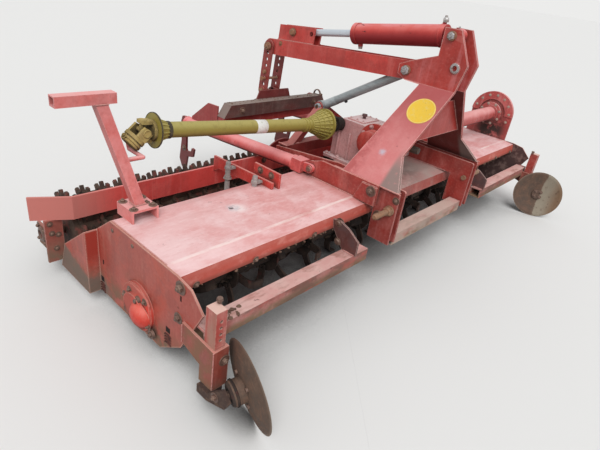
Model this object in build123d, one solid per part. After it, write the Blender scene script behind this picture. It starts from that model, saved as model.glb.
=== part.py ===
from build123d import *
import os
from math import acos, atan2, cos, hypot, radians, sin

# Tractor-mounted rotary ridger, full width, with a rear lift linkage and a toothed packer roller.
# X runs across the machine, -Y is the tractor's side, Z is up from the ground.
# While modelling, y = 0 is the rotor's axis; datum_y then moves the origin to the middle of the footprint.

datum_y = 290.0

# Hood: folded sheet, lip in front and apron behind
hood_half = 1550.0        # centre plane to the outer face of a side plate
hood_top = 468.0
hood_t = 8.0
hood_rear = 210.0
hood_crease = -172.0
hood_fold = -250.0
hood_fold_drop = 8.0
lip_drop = 55.0
lip_lean = 12.0
apron_run = 70.0
apron_drop = 190.0
seam_x = 410.0            # joint between the hood sections
hood_hole_x = -1074.0
hood_hole_y = 48.0
hood_hole_r = 12.0

# Side plates
side_t = 8.0
side_bottom = 70.0
side_shoulder_y = -328.0
side_shoulder_drop = 12.0
side_nose = -397.0
side_nose_z = 391.0
side_chin_y = -275.0
side_chin_z = 167.0
side_toe_y = -140.0
side_step_y = 332.0       # joggle that clears the packer
side_step = 54.0
side_rear_y = 540.0
side_rear_z = 217.0
side_heel_y = 602.0
side_hole_r = 57.0

# Rotor
rotor_z = 188.0
rotor_shaft_r = 45.0
rotor_end_gap = 14.0
stub_r = 30.0
run_fit = 0.05            # radial clearance of a running or pinned fit
tip_r = 186.0
flange_r = 92.0
flange_t = 10.0
flange_count = 12
flange_margin = 175.0     # side plate's outer face to the last flange
flange_twist = 30.0
blade_t = 10.0
blade_w = 38.0
blade_foot = 62.0
blade_lap = 34.0
blade_heel = 62.0
blade_knee = 34.0
blade_relief = 4.0        # flat blade's edge inside the tip circle
blades_per_flange = 6
bearing_r = 104.0
bearing_t = 14.0
bearing_boss_r = 66.0
bearing_boss_t = 34.0
stub_in = 24.0
end_gap = 1.0

# Side drive
case_t = 86.0
case_r = 146.0
case_upper_r = 120.0
case_top_y = -11.0
case_top_z = 649.0
case_neck_r = 75.0
case_flange_in = 50.0
case_arch_r = 165.0       # plate between the case and the hood
case_arch_t = 12.0
case_band_in_r = 105.0
case_band_t = 12.0
drive_r = 50.0
drive_collar_r = 66.0
drive_flange_r = 88.0
drive_collar_t = 20.0

# Gearbox
gear_half = 105.0
gear_front = 30.0
gear_rear = 285.0
gear_top = 712.0
gear_chamfer = 46.0
gear_shoulder = 50.0
gear_neck_r = 92.0
gear_foot_t = 14.0
gear_foot_out = 40.0
gear_foot_front = 70.0
gear_foot_rear = 20.0
cap_flange_r = 100.0
cap_flange_t = 16.0
cap_r = 64.0
cap_len = 66.0
input_housing_r = 58.0
input_housing_len = 46.0
input_bore = 40.0
pto_r = 17.4
pto_len = 78.0            # splined end, from its collar
pto_collar_r = 24.0
pto_collar_out = 4.0
breather_y = 160.0
breather_r = 9.0
breather_h = 34.0
breather_cap_r = 15.0
breather_cap_t = 12.0

# Headstock: two bent mast plates on cheek plates
mast_x = 50.0             # inner face of an upper mast plate
mast_t = 15.0
mast_trim = 30.0          # bent section's length beyond its trimmed foot
bend_z = 1000.0
bend_front = -364.0
bend_rear = -169.0
splay_x = 430.0           # inner face where a splayed plate lands on its cheek
splay_front = -294.0
splay_rear = -67.0
flare_z = 703.0           # the plate widens forward below this height
mast_elbow = -393.0
mast_elbow_z = 1134.0
mast_top_z = 1284.0
mast_top_front = -317.0
mast_top_rear = -232.0
nose_y = -99.0
nose_z = 1105.0
lever_ear = 48.0
top_link_y = -335.0
top_link_z = 1114.0
top_link_r = 12.8
top_link_boss_r = 24.0
top_link_boss_t = 6.0
pin_head_t = 14.0
pin_head_step = 7.0
cheek_t = 12.0
cheek_top = 569.0
cheek_front = -412.0
cheek_low = 290.0
cheek_chamfer = 8.0
cheek_back = -286.0
cheek_in_x = 384.0        # centre of the inner cheek plate
cheek_rear = 470.0
cheek_rear_top = 514.0
cheek_out_rear = -7.0
cheek_seat = 7.0          # splayed plate's inner face to the outer cheek's centre
rail_x = 460.0
rail_front = -303.0
rail_high = 575.0
rail_knee = 60.0
shoe_t = 10.0
shoe_top = 562.0
shoe_high_y = -212.0
shoe_low_y = -176.0
cross_top = 940.0
cross_low = 760.0
cross_y = -300.0
cross_t = 10.0
link_pin_y = -378.0
link_pin_z = 470.0
link_pin_r = 14.2
link_pin_out = 565.0
link_pin_in = 12.0
link_collar_r = 26.0
link_collar_t = 12.0

# Front tubes
tube_front = -400.0
tube_depth = 70.0
tube_low = 262.0
tube_high = 60.0
tube_wall = 6.0
tube_gap_left = 600.0
tube_gap_right = 690.0
bracket_x = 706.0
bracket_t = 10.0
bracket_top = 448.0
bracket_foot = 408.0
bracket_bow = [(-34.0, 6.0), (-88.0, -14.0)]      # y from the lip, z from the bracket's top
bracket_nose = 394.0
bracket_lap = 10.0

# Side discs
disc_in = 72.0            # side plate's outer face to the middle of the disc's rim
disc_y = -569.0
disc_z = 169.3
disc_r = 171.0
disc_t = 5.0
disc_dish = 26.0
disc_yaw = 16.7
disc_lean = 8.9
hub_r = 46.0
hub_t = 40.0
hub_cap_r = 38.0
hub_cap_t = 12.0
spindle_r = 16.0
spindle_in = 32.0
shank_w = 44.0
shank_d = 54.0
shank_top = 445.0
shank_low = 80.0
shank_hole_r = 6.0
shank_holes = [327.0, 352.0, 379.0, 405.0]
holder_fit = 0.3
holder_t = 10.0
holder_top = 293.0
holder_low = 120.0
holder_rear = -296.0
holder_rear_top = 305.0
holder_rear_low = 218.0
holder_step = 190.0
foot_out = 10.0
foot_t = 15.0
foot_top = 116.0
foot_eye_r = 36.0

# Stand for the stowed drive shaft
stand_in = 114.0          # side plate's outer face to the middle of the stand
stand_y = 195.0
stand_base = 116.0
stand_base_h = 44.0
stand_plate_t = 10.0
stand_leg_t = 8.0
stand_tube = 42.0
stand_wall = 5.0
stand_lean_x = 0.272
stand_lean_y = 0.11
bar_z = 941.0
bar_high = 38.0
bar_deep = 42.0
bar_reach = 267.0         # bar's outer end from the middle of the stand
bar_start = 52.0
hook_r = 9.0
hook_front = 230.0
hook_rear = 352.0
hook_rise = 46.0

# Stowed drive shaft
shaft_past = -6.0         # shaft's outer end beyond the middle of the stand
shaft_out_y = 290.0
shaft_out_z = 790.0
shaft_in_y = 245.0
shaft_in_z = 676.0
shaft_core_r = 25.0
guard_fit = 0.3
guard_r = 33.0
guard_start = 0.110       # places along the shaft, as shares of its length
guard_end = 0.865
bell_r = 78.0
bell_len = 130.0
bell_rim_r = 86.0
bell_rim_t = 12.0
outer_bell_r = 50.0
outer_bell_len = 58.0
outer_rim_r = 70.0
outer_rim_t = 8.0
outer_bend = 45.0         # outer yoke hangs down by this angle
fork_r = 44.0
fork_t = 14.0
fork_len = 46.0
cross_pin_r = 11.0
park_stub_r = 17.4
park_stub_len = 60.0
park_stub_in = 5.0
core_start = 6.0          # yoke's end to the gearbox's side

# Packer roller and its frame
roller_y = 725.0
roller_z = 184.7
roller_tip_r = 185.0
roller_root_r = 156.0
drum_r = 142.0
drum_wall = 8.0
drum_in = 20.0            # drum's end inside the side plate's outer face
drum_end_t = 12.0
ring_count = 31
ring_margin = 30.0        # drum's end to the last ring
ring_t = 14.0
tooth_count = 16
tooth_rise = 0.12         # shares of a tooth's pitch
tooth_flat = 0.30
axle_r = 24.0
board_y = 550.0
board_t = 12.0
board_low = 318.0
board_high = 428.0
board_past = 18.0         # drum's end to the bend
board_tip_out = 81.0      # middle of the leg to the board's tip
board_tip_y = 632.0
leg_out = 92.0            # drum's end to the middle of the leg
leg_w = 76.0
leg_t = 12.0
leg_y = 592.0
leg_low = 105.0
leg_knee_y = 660.0
leg_rear_y = 775.0
axle_boss_r = 46.0
axle_boss_out = 20.0
axle_out = 10.0
hanger_x = 775.0
hanger_t = 12.0
hanger_front = 95.0
hanger_high = 502.0
hanger_rear_high = 490.0
hanger_rear_low = 400.0
hanger_knee_y = 500.0
hanger_knee_z = 430.0
hanger_toe_z = 445.0
ear_x = 740.0
ear_front = 84.0
ear_rear = 267.0
ear_high = 545.0
screw_r = 12.5
screw_x = 822.0
screw_rear_y = 380.0
screw_rear_low = 360.0
screw_high = 520.0
screw_front_y = 175.0
screw_block = 26.0
scraper_w = 60.0
scraper_t = 8.0
scraper_top = 352.0
scraper_bend = 322.0
scraper_tip_y = 597.0
scraper_tip_z = 262.0
arch_x = -250.0
arch_z = 329.0
arch_r = 180.0
arch_band = 40.0
arch_t = 10.0

# Rear frame behind the hood, and the stay from the mast
beam_front = 400.0
beam_size = 62.0
frame_foot_x = 285.0
apex_y = 488.0
apex_z = 706.0
apex_tube = 46.0
apex_wall = 4.0
apex_ear_x = 26.0
apex_ear_t = 10.0
apex_pin_r = 12.5
apex_ear_r = 30.0
stay_r = 25.0
stay_eye_r = 34.0
stay_eye_half = 20.0
stay_start = 28.0         # eye's centre to the bar's end inside the eye

# Lift lever, cylinder and link
lever_y = -78.0
lever_z = 1051.0
lever_end_y = 951.0
lever_end_z = 977.0
lever_half_h = 47.0
lever_t = 12.0
lever_gap = 2.0
lever_pin_r = 17.5
lug_t = 12.0
lug_outline = [(599.0, 1143.0), (891.0, 1119.0), (900.0, 1000.0), (610.0, 1020.0)]      # y, z
eye_y = 772.0
eye_z = 1092.0
eye_r = 32.0
eye_half = 21.0
eye_pin_r = 13.0
eye_hole_r = 17.5
cyl_y = -278.0
cyl_z = 1251.0
cyl_pin_r = 15.0
cyl_eye_r = 34.0
cyl_eye_half = 22.0
barrel_r = 53.0
barrel_start = 62.0
barrel_end = 612.0
barrel_rim = 4.0
barrel_rim_t = 26.0
rod_r = 20.0
rod_in = 70.0
bore_floor = 110.0
port_along = 92.0
port_r = 10.0
port_rise = 20.0
port_lean = 16.0
port_ball_r = 14.0
link_t = 10.0
link_w = 78.0
link_gap = 4.0
link_low_y = 972.0
link_low_z = 690.0
link_holes = 7
link_hole_r = 10.0
link_head_r = 24.0
link_head_t = 10.0

# Lift arms and hitch
arm_x = 470.0
arm_pin_y = 118.0
arm_pin_z = 513.0
arm_pin_r = 12.5
arm_eye_r = 24.0
rail_eye_r = 40.0
arm_tongue_t = 18.0
arm_side_gap = 2.0
arm_keeper_r = 20.0
arm_keeper_t = 6.0
arm_block_y = 166.0
arm_block = 70.0
arm_block_low = 473.0
arm_block_high = 541.0
arm_r = 38.0
arm_start_z = 503.0
arm_end_y = 1240.0
arm_end_z = 436.0
hitch_half = 430.0
hitch_foot_half = 480.0
hitch_y = 845.0
hitch_depth = 70.0
hitch_low = 572.0
hitch_high = 650.0
web_t = 10.0
web_low = 510.0
web_in = 35.0
hitch_leg_t = 12.0
hitch_leg_in = 5.0
tower_half = 190.0
tower_top_half = 133.0
tower_t = 10.0
tower_top = 703.0
lug_in_x = 30.0
lug_plate_t = 14.0
# z, y behind the tower's plate
tower_lug = [(600.0, 0.0), (700.0, 0.0), (708.0, 58.0), (690.0, 84.0), (652.0, 72.0), (612.0, 24.0)]
tower_hole_r = 12.5
hitch_gusset_t = 10.0
gusset_outline = [(98.0, 626.0), (261.0, 497.0), (261.0, 455.0), (0.0, 462.0)]      # y behind the beam, z
gusset_top = 631.0
hook_plate_t = 16.0
hook_plate = [(0.0, 474.0), (46.0, 468.0), (60.0, 430.0), (52.0, 300.0), (74.0, 160.0), (46.0, 105.0),
              (2.0, 112.0), (-14.0, 196.0), (-78.0, 212.0), (-90.0, 268.0), (-66.0, 272.0), (-56.0, 242.0),
              (-6.0, 234.0), (0.0, 250.0)]      # y behind the pipe's end, z


def block(x0, x1, y0, y1, z0, z1):
    return Pos((x0 + x1) / 2, (y0 + y1) / 2, (z0 + z1) / 2) * Box(abs(x1 - x0), abs(y1 - y0), abs(z1 - z0))


def outline(points):
    return make_face(Polyline(*points, close=True).edges())


def plate_x(points, x0, x1):
    """Flat plate with its outline in the YZ plane, between two x values."""
    return extrude(Plane.YZ.offset(min(x0, x1)) * outline(points), abs(x1 - x0))


def plate_y(points, y0, y1):
    """Flat plate with its outline in the XZ plane, between two y values."""
    plane = Plane(origin=(0, max(y0, y1), 0), x_dir=(1, 0, 0), z_dir=(0, -1, 0))
    return extrude(plane * outline(points), abs(y1 - y0))


def plate_z(points, z0, z1):
    """Flat plate with its outline in the XY plane, between two z values."""
    return extrude(Plane.XY.offset(min(z0, z1)) * outline(points), abs(z1 - z0))


def rod(p, q, r):
    start = Vector(*p)
    run = Vector(*q) - start
    return extrude(Plane(origin=start, z_dir=run) * Circle(r), run.length)


def cone(p, q, r0, r1):
    start = Vector(*p)
    run = Vector(*q) - start
    flat = (Align.CENTER, Align.CENTER, Align.MIN)
    return Plane(origin=start, z_dir=run).location * Cone(r0, r1, run.length, align=flat)


def rod_x(x0, x1, y, z, r):
    return rod((min(x0, x1), y, z), (max(x0, x1), y, z), r)


def bar_x(a, b, half, x0, x1):
    """Round-ended flat bar in a YZ plane, from a to b."""
    dy = b[0] - a[0]
    dz = b[1] - a[1]
    mid = (min(x0, x1), (a[0] + b[0]) / 2, (a[1] + b[1]) / 2)
    plane = Plane(origin=mid, x_dir=(0, dy, dz), z_dir=(1, 0, 0))
    return extrude(plane * SlotCenterToCenter(hypot(dy, dz), 2 * half), abs(x1 - x0))


def square_tube(p, q, w, h, wall, up=(0, 0, 1)):
    """Hollow rectangular tube from p to q; w lies across, h along the up direction."""
    start = Vector(*p)
    run = Vector(*q) - start
    side = run.cross(Vector(*up)).normalized()
    plane = Plane(origin=start, x_dir=side, z_dir=run)
    return extrude(plane * (Rectangle(w, h) - Rectangle(w - 2 * wall, h - 2 * wall)), run.length)


def sheet(points, t):
    """Closed outline of a folded sheet: the line of points, and the same line t to its right."""
    inner = []
    for i, (u, v) in enumerate(points):
        normals = []
        for a, b in ((i - 1, i), (i, i + 1)):
            if a >= 0 and b < len(points):
                du = points[b][0] - points[a][0]
                dv = points[b][1] - points[a][1]
                size = hypot(du, dv)
                normals.append((dv / size, -du / size))
        nu = sum(n[0] for n in normals) / len(normals)
        nv = sum(n[1] for n in normals) / len(normals)
        scale = t / (nu * nu + nv * nv)
        inner.append((u + nu * scale, v + nv * scale))
    return list(points) + inner[::-1]


def join(*pieces):
    result = pieces[0]
    for piece in pieces[1:]:
        result = result + piece
    return result


def mirrored(shape):
    return mirror(shape, about=Plane.YZ)


def save(name, *pieces):
    solids = []
    for piece in pieces:
        solids.extend(piece.solids())
    shape = Compound(children=solids) if len(solids) > 1 else solids[0]
    export_step(shape.moved(Location((0, -datum_y, 0))), "parts/" + name + ".step")


def save_pair(name, *left):
    """The left pieces as modelled, and their mirror images on the right."""
    save(name + "_left", *left)
    save(name + "_right", *[mirrored(piece) for piece in left])


os.makedirs("parts", exist_ok=True)

# Widths that follow the hood
disc_x = hood_half - disc_in
foot_x = hood_half + foot_out
stand_x = hood_half - stand_in
bar_out = stand_x + bar_reach
bar_in = stand_x + bar_start
shaft_out_x = stand_x + shaft_past
drum_half = hood_half - drum_in
leg_x = drum_half + leg_out
board_bend_x = drum_half + board_past
board_tip_x = leg_x + board_tip_out
ring_pitch = 2 * (drum_half - ring_margin) / (ring_count - 1)
flange_pitch = 2 * (hood_half - flange_margin) / (flange_count - 1)

# Hood sections: one folded section, cut at two seams
lip_top = hood_top - hood_fold_drop
hood_line = [(hood_fold - lip_lean, lip_top - lip_drop), (hood_fold, lip_top), (hood_crease, hood_top),
             (hood_rear, hood_top), (hood_rear + apron_run, hood_top - apron_drop)]
hood_section = sheet(hood_line, hood_t)
hood_inner_x = hood_half - side_t
hood_left = plate_x(hood_section, -hood_inner_x, -seam_x)
hood_bore = Pos(hood_hole_x, hood_hole_y, hood_top) * Cylinder(hood_hole_r, 4 * hood_t)
save("hood_left", hood_left - hood_bore)
save("hood_right", mirrored(hood_left))
save("hood_middle", plate_x(hood_section, -seam_x, seam_x))


def lip_face(z):
    """y of the lip's outer face at a height."""
    return hood_fold - lip_lean * (lip_top - z) / lip_drop


def apron_face(z):
    """y of the apron's outer face at a height."""
    return hood_rear + apron_run * (hood_top - z) / apron_drop


# Side plates: profiled plate with an outward joggle at the rear
step_top = hood_top - (hood_top - side_rear_z) / (side_rear_y - hood_rear) * (side_step_y - hood_rear)
front_part = [(hood_rear, hood_top), (hood_fold, hood_top), (side_shoulder_y, hood_top - side_shoulder_drop),
              (side_nose, side_nose_z), (side_chin_y, side_chin_z), (side_toe_y, side_bottom),
              (side_step_y, side_bottom), (side_step_y, step_top)]
rear_part = [(side_step_y, step_top), (side_step_y, side_bottom), (side_heel_y, side_bottom),
             (side_rear_y, side_rear_z)]
side_out_x = hood_half + side_step
rotor_hole = rod_x(-hood_half, -hood_inner_x, 0, rotor_z, side_hole_r)
side_left = join(
    plate_x(front_part, -hood_half, -hood_inner_x) - rotor_hole,
    block(-side_out_x, -hood_inner_x, side_step_y - side_t, side_step_y, side_bottom, step_top),
    plate_x(rear_part, -side_out_x, -side_out_x + side_t))
save_pair("side_plate", side_left)

# Rotor: tube, flanges and L-shaped blades bent both ways
rotor_half = hood_inner_x - rotor_end_gap
stub_end = hood_half + stub_in
flange_xs = [(i - (flange_count - 1) / 2) * flange_pitch for i in range(flange_count)]
rotor = join(
    rod_x(-rotor_half, rotor_half, 0, rotor_z, rotor_shaft_r),
    rod_x(-stub_end, stub_end, 0, rotor_z, stub_r))
for x in flange_xs:
    rotor = rotor + rod_x(x - flange_t / 2, x + flange_t / 2, 0, rotor_z, flange_r)
save("rotor_shaft", rotor)

blade_edge = tip_r - blade_relief
blade_line = [(0, flange_r - blade_lap), (0, tip_r - blade_heel), (blade_t / 2, tip_r - blade_knee),
              (2 * blade_t, blade_edge - blade_t), (blade_foot, blade_edge)]
blades = []
for n, x in enumerate(flange_xs):
    for k in range(blades_per_flange):
        way = 1 if k % 2 else -1
        line = [(x + way * (flange_t / 2 + s), r) for s, r in blade_line]
        section = sheet(line if way > 0 else line[::-1], blade_t)
        blade = extrude(Plane.XZ.offset(-blade_w / 2) * outline(section), blade_w)
        angle = n * flange_twist + k * 360 / blades_per_flange
        blades.append(Pos(0, 0, rotor_z) * Rot(angle, 0, 0) * blade)
save("rotor_blades", *blades)

# Bearing cover on the left side plate
cover = join(
    rod_x(-hood_half - bearing_t, -hood_half, 0, rotor_z, bearing_r),
    rod_x(-hood_half - bearing_boss_t, -hood_half, 0, rotor_z, bearing_boss_r))
save("bearing_cover", cover - rod_x(-stub_end - end_gap, -hood_half, 0, rotor_z, stub_r + run_fit))

# Drive case outside the right side plate: tapered body, arched plate above the hood, neck for the drive tube
flange_x = hood_half - case_flange_in
case_out = hood_half + case_t
case_run = hypot(case_top_y, case_top_z - rotor_z)
case_tilt = atan2(case_top_z - rotor_z, case_top_y)
case_flank = acos((case_r - case_upper_r) / case_run)
case_sides = []
for y, z, r, way in ((0, rotor_z, case_r, 1), (case_top_y, case_top_z, case_upper_r, 1),
                     (case_top_y, case_top_z, case_upper_r, -1), (0, rotor_z, case_r, -1)):
    a = case_tilt + way * case_flank
    case_sides.append((y + r * cos(a), z + r * sin(a)))
case_body = join(
    plate_x(case_sides, hood_half, case_out),
    rod_x(hood_half, case_out, 0, rotor_z, case_r),
    rod_x(hood_half, case_out, case_top_y, case_top_z, case_upper_r))
arch_in = hood_half - case_arch_t
band_in = arch_in - case_band_t
case_arch = join(
    rod_x(arch_in, hood_half, case_top_y, case_top_z, case_arch_r),
    block(arch_in, hood_half, case_top_y - case_arch_r, case_top_y + case_arch_r, hood_top, case_top_z))
case_band = rod_x(band_in, arch_in, case_top_y, case_top_z, case_arch_r)
case_band = case_band - rod_x(band_in, arch_in, case_top_y, case_top_z, case_band_in_r)
case_band = case_band - block(band_in, arch_in, case_top_y - 2 * case_arch_r, case_top_y + 2 * case_arch_r,
                              hood_top, case_top_z)
save("drive_case", join(
    case_body - rod_x(hood_half, stub_end + end_gap, 0, rotor_z, stub_r + run_fit), case_arch, case_band,
    rod_x(flange_x, hood_half, case_top_y, case_top_z, case_neck_r)))

# Drive tube from the gearbox to the side case
save("drive_tube", join(
    rod_x(gear_half, flange_x, case_top_y, case_top_z, drive_r),
    rod_x(gear_half, gear_half + drive_collar_t, case_top_y, case_top_z, drive_flange_r),
    rod_x(flange_x - drive_collar_t, flange_x, case_top_y, case_top_z, drive_collar_r)))

# Gearbox: cast body on a foot, with a round neck for the cross drive and a housing for the input
shaft_dir = (Vector(-shaft_out_x, shaft_out_y, shaft_out_z) - Vector(-gear_half, shaft_in_y, shaft_in_z))
shaft_len = shaft_dir.length
shaft_unit = shaft_dir.normalized()


def on_shaft(along):
    """Point on the stowed shaft's axis, from the gearbox's side face outwards."""
    return Vector(-gear_half, shaft_in_y, shaft_in_z) + shaft_unit * along


input_y = case_top_y - gear_neck_r
input_face = input_y - input_housing_len
gear_body = [(gear_front, hood_top), (gear_rear, hood_top), (gear_rear, gear_top - gear_chamfer),
             (gear_rear - gear_chamfer, gear_top), (gear_front + gear_shoulder, gear_top),
             (gear_front, gear_top - gear_shoulder)]
gearbox = join(
    plate_x(gear_body, -gear_half, gear_half),
    rod_x(-gear_half, gear_half, case_top_y, case_top_z, gear_neck_r),
    block(-gear_half, gear_half, case_top_y - gear_foot_front, gear_front, hood_top, case_top_z),
    block(-gear_half - gear_foot_out, gear_half + gear_foot_out, case_top_y - gear_foot_front,
          gear_rear + gear_foot_rear, hood_top, hood_top + gear_foot_t),
    rod((0, case_top_y, case_top_z), (0, input_face, case_top_z), input_housing_r),
    rod((0, breather_y, gear_top), (0, breather_y, gear_top + breather_h), breather_r),
    rod((0, breather_y, gear_top + breather_h - breather_cap_t), (0, breather_y, gear_top + breather_h),
        breather_cap_r),
    rod(on_shaft(-park_stub_in), on_shaft(park_stub_len), park_stub_r))
input_floor = (0, input_face + input_bore, case_top_z)
gearbox = gearbox - rod(input_floor, (0, input_face, case_top_z), pto_collar_r + run_fit)
save("gearbox", gearbox)
save("gearbox_cap", join(
    rod_x(-gear_half - cap_flange_t, -gear_half, case_top_y, case_top_z, cap_flange_r),
    rod_x(-gear_half - cap_flange_t - cap_len, -gear_half, case_top_y, case_top_z, cap_r)))
collar_face = input_face - pto_collar_out
save("input_shaft", join(
    rod((0, input_face + input_bore - end_gap, case_top_z), (0, collar_face, case_top_z), pto_collar_r),
    rod((0, collar_face, case_top_z), (0, collar_face - pto_len, case_top_z), pto_r)))

# Mast plates: one bent section, trimmed to one silhouette
splay_slope = (splay_x - mast_x) / (bend_z - cheek_top)


def splay_at(z):
    """Inner x of the splayed plate at a height."""
    return mast_x + splay_slope * (bend_z - z)


ear_y = lever_y + lever_ear
flare_front = cheek_front + cheek_chamfer
flare_y = splay_front + (bend_front - splay_front) * (flare_z - cheek_top) / (bend_z - cheek_top)
mast_outline = [(bend_rear, bend_z), (splay_rear, cheek_top), (flare_front, cheek_top), (flare_y, flare_z),
                (bend_front, bend_z), (mast_elbow, mast_elbow_z), (mast_top_front, mast_top_z),
                (mast_top_rear, mast_top_z), (mast_top_rear, nose_z + lever_ear), (nose_y, nose_z),
                (ear_y, lever_z + lever_ear / 2), (ear_y, lever_z - lever_ear / 2),
                (lever_y, lever_z - lever_ear)]
below = cheek_top - mast_trim
mast_section = sheet([(-mast_x, mast_top_z), (-mast_x, bend_z), (-splay_at(below), below)], mast_t)
mast_left = plate_y(mast_section, cheek_front, ear_y) & plate_x(mast_outline, -2 * splay_at(below), 0)
boss_x = mast_x + mast_t + top_link_boss_t
mast_left = mast_left + rod_x(-boss_x, -mast_x, top_link_y, top_link_z, top_link_boss_r)
mast_holes = [(top_link_y, top_link_z, top_link_r), (cyl_y, cyl_z, cyl_pin_r),
              (lever_y, lever_z, lever_pin_r)]
for y, z, r in mast_holes:
    mast_left = mast_left - rod_x(-boss_x - end_gap, -mast_x + end_gap, y, z, r)
save_pair("mast_plate", mast_left)

# Pins of the mast, each with two heads
pin_face = mast_x + mast_t
pin_half = pin_face + pin_head_t
mast_pins = []
for y, z, r in mast_holes[1:]:
    mast_pins.append(join(
        rod_x(-pin_half, pin_half, y, z, r - run_fit),
        rod_x(-pin_half, -pin_face, y, z, r + pin_head_step),
        rod_x(pin_face, pin_half, y, z, r + pin_head_step)))
apex_pin_half = apex_ear_x + apex_ear_t + pin_head_t
mast_pins.append(rod_x(-apex_pin_half, apex_pin_half, apex_y, apex_z, apex_pin_r - run_fit))
save("mast_pins", *mast_pins)

# Cross plate between the splayed plates
save("mast_cross_plate", plate_y(
    [(-splay_at(cross_top), cross_top), (splay_at(cross_top), cross_top), (splay_at(cross_low), cross_low),
     (-splay_at(cross_low), cross_low)], cross_y, cross_y + cross_t))

# Cheek plates under the mast: the outer one short, the inner one running back to the rear frame
cheek_half = cheek_t / 2
cheek_out_x = splay_x + cheek_seat
inner_points = [(cheek_front, cheek_top - cheek_chamfer), (cheek_front, cheek_low), (cheek_back, cheek_low),
                (cheek_back, hood_top), (cheek_rear, hood_top), (cheek_rear, cheek_rear_top),
                (0, cheek_top), (cheek_front + cheek_chamfer, cheek_top)]
outer_points = [(cheek_front, cheek_top - cheek_chamfer), (cheek_front, cheek_low), (cheek_back, cheek_low),
                (cheek_back, hood_top), (cheek_out_rear, hood_top), (cheek_out_rear, cheek_top),
                (cheek_front + cheek_chamfer, cheek_top)]
pin_hole = rod_x(-cheek_out_x - cheek_t, -cheek_in_x + cheek_t, link_pin_y, link_pin_z, link_pin_r + run_fit)
inner_cheek = plate_x(inner_points, -cheek_in_x - cheek_half, -cheek_in_x + cheek_half) - pin_hole
outer_cheek = plate_x(outer_points, -cheek_out_x - cheek_half, -cheek_out_x + cheek_half) - pin_hole
save_pair("cheek_plates", inner_cheek, outer_cheek)

# Rails outside the cheeks, each with the pivot pin of a lift arm and its keeper ring
rail_out = rail_x + cheek_half
tongue_x0 = rail_out + arm_side_gap
tongue_x1 = tongue_x0 + arm_tongue_t
rail_points = [(rail_front, hood_top), (arm_pin_y, hood_top), (arm_pin_y, arm_pin_z + rail_eye_r),
               (rail_knee, rail_high), (rail_front, rail_high)]
rail_eye = rod_x(-rail_out, -rail_out + cheek_t, arm_pin_y, arm_pin_z, rail_eye_r)
rail_eye = rail_eye - block(-rail_out, -rail_out + cheek_t, 0, 2 * arm_pin_y, 0, hood_top)
keeper_x = tongue_x1 + arm_side_gap
rail = join(
    plate_x(rail_points, -rail_out, -rail_out + cheek_t), rail_eye,
    rod_x(-keeper_x - arm_keeper_t, -rail_out, arm_pin_y, arm_pin_z, arm_pin_r - run_fit),
    rod_x(-keeper_x - arm_keeper_t, -keeper_x, arm_pin_y, arm_pin_z, arm_keeper_r))
shoe_points = [(rail_front, hood_top), (rail_front, shoe_top), (shoe_high_y, shoe_top),
               (shoe_low_y, hood_top)]
save_pair("rail", rail, plate_x(shoe_points, -rail_out - shoe_t, -rail_out))

# Lower link pins through both cheeks
collar_x = cheek_out_x + cheek_half
link_pin = join(
    rod_x(-link_pin_out, -cheek_in_x + cheek_half + link_pin_in, link_pin_y, link_pin_z, link_pin_r),
    rod_x(-collar_x - link_collar_t, -collar_x, link_pin_y, link_pin_z, link_collar_r))
save("lower_link_pins", link_pin, mirrored(link_pin))

# Front protection tubes and the brackets that hold them to the hood's lip
tube_mid_y = tube_front + tube_depth / 2
tube_mid_z = tube_low + tube_high / 2
tube_top = tube_low + tube_high


def front_tube(x0, x1):
    ends = [(x, tube_mid_y, tube_mid_z) for x in (x0, x1)]
    return square_tube(*ends, tube_depth, tube_high, tube_wall)


save("front_tube_left", front_tube(-hood_inner_x, -tube_gap_left))
save("front_tube_middle", front_tube(-cheek_in_x + cheek_half, cheek_in_x - cheek_half))
save("front_tube_right", front_tube(tube_gap_right, hood_inner_x))
lip_y = hood_fold - lip_lean
bracket_points = [(lip_face(bracket_top), bracket_top)]
bracket_points += [(lip_y + y, bracket_top + z) for y, z in bracket_bow]
bracket_points += [(tube_front - bracket_lap, bracket_nose), (tube_front - bracket_lap, tube_top),
                   (tube_front + tube_depth, tube_top), (lip_face(bracket_foot), bracket_foot)]
save("tube_brackets", plate_x(bracket_points, -bracket_x - bracket_t, -bracket_x),
     plate_x(bracket_points, bracket_x, bracket_x + bracket_t))

# Disc holders: plate on the side plate, with a box in which the shank slides
shank_x0 = -hood_half + holder_fit
shank_x1 = shank_x0 + shank_w
box_in = shank_x1 + holder_fit
box_back = tube_front - holder_t
shank_back = box_back - holder_fit
shank_front = shank_back - shank_d
box_front = shank_front - holder_fit
box_nose = box_front - holder_t
arm_points = [(holder_rear, holder_rear_top), (box_nose, holder_top), (box_nose, holder_low),
              (tube_front, holder_low), (tube_front, holder_step), (holder_rear, holder_rear_low)]
save_pair("disc_holder", join(
    plate_x(arm_points, -hood_half - holder_t, -hood_half),
    block(-hood_half, box_in + holder_t, box_nose, box_front, holder_low, holder_top),
    block(box_in, box_in + holder_t, box_nose, tube_front, holder_low, holder_top),
    block(-hood_half, box_in + holder_t, box_back, tube_front, holder_low, holder_top)))

# Disc shanks: bar in the holder, foot plate and the slanted spindle
yaw = radians(disc_yaw)
lean = radians(disc_lean)
disc_n = Vector(-cos(yaw) * cos(lean), sin(yaw) * cos(lean), -sin(lean))
disc_c = Vector(-disc_x, disc_y, disc_z)


def on_spindle(along):
    """Point on the disc's axis, from the rim's plane outwards."""
    return disc_c + disc_n * along


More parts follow.
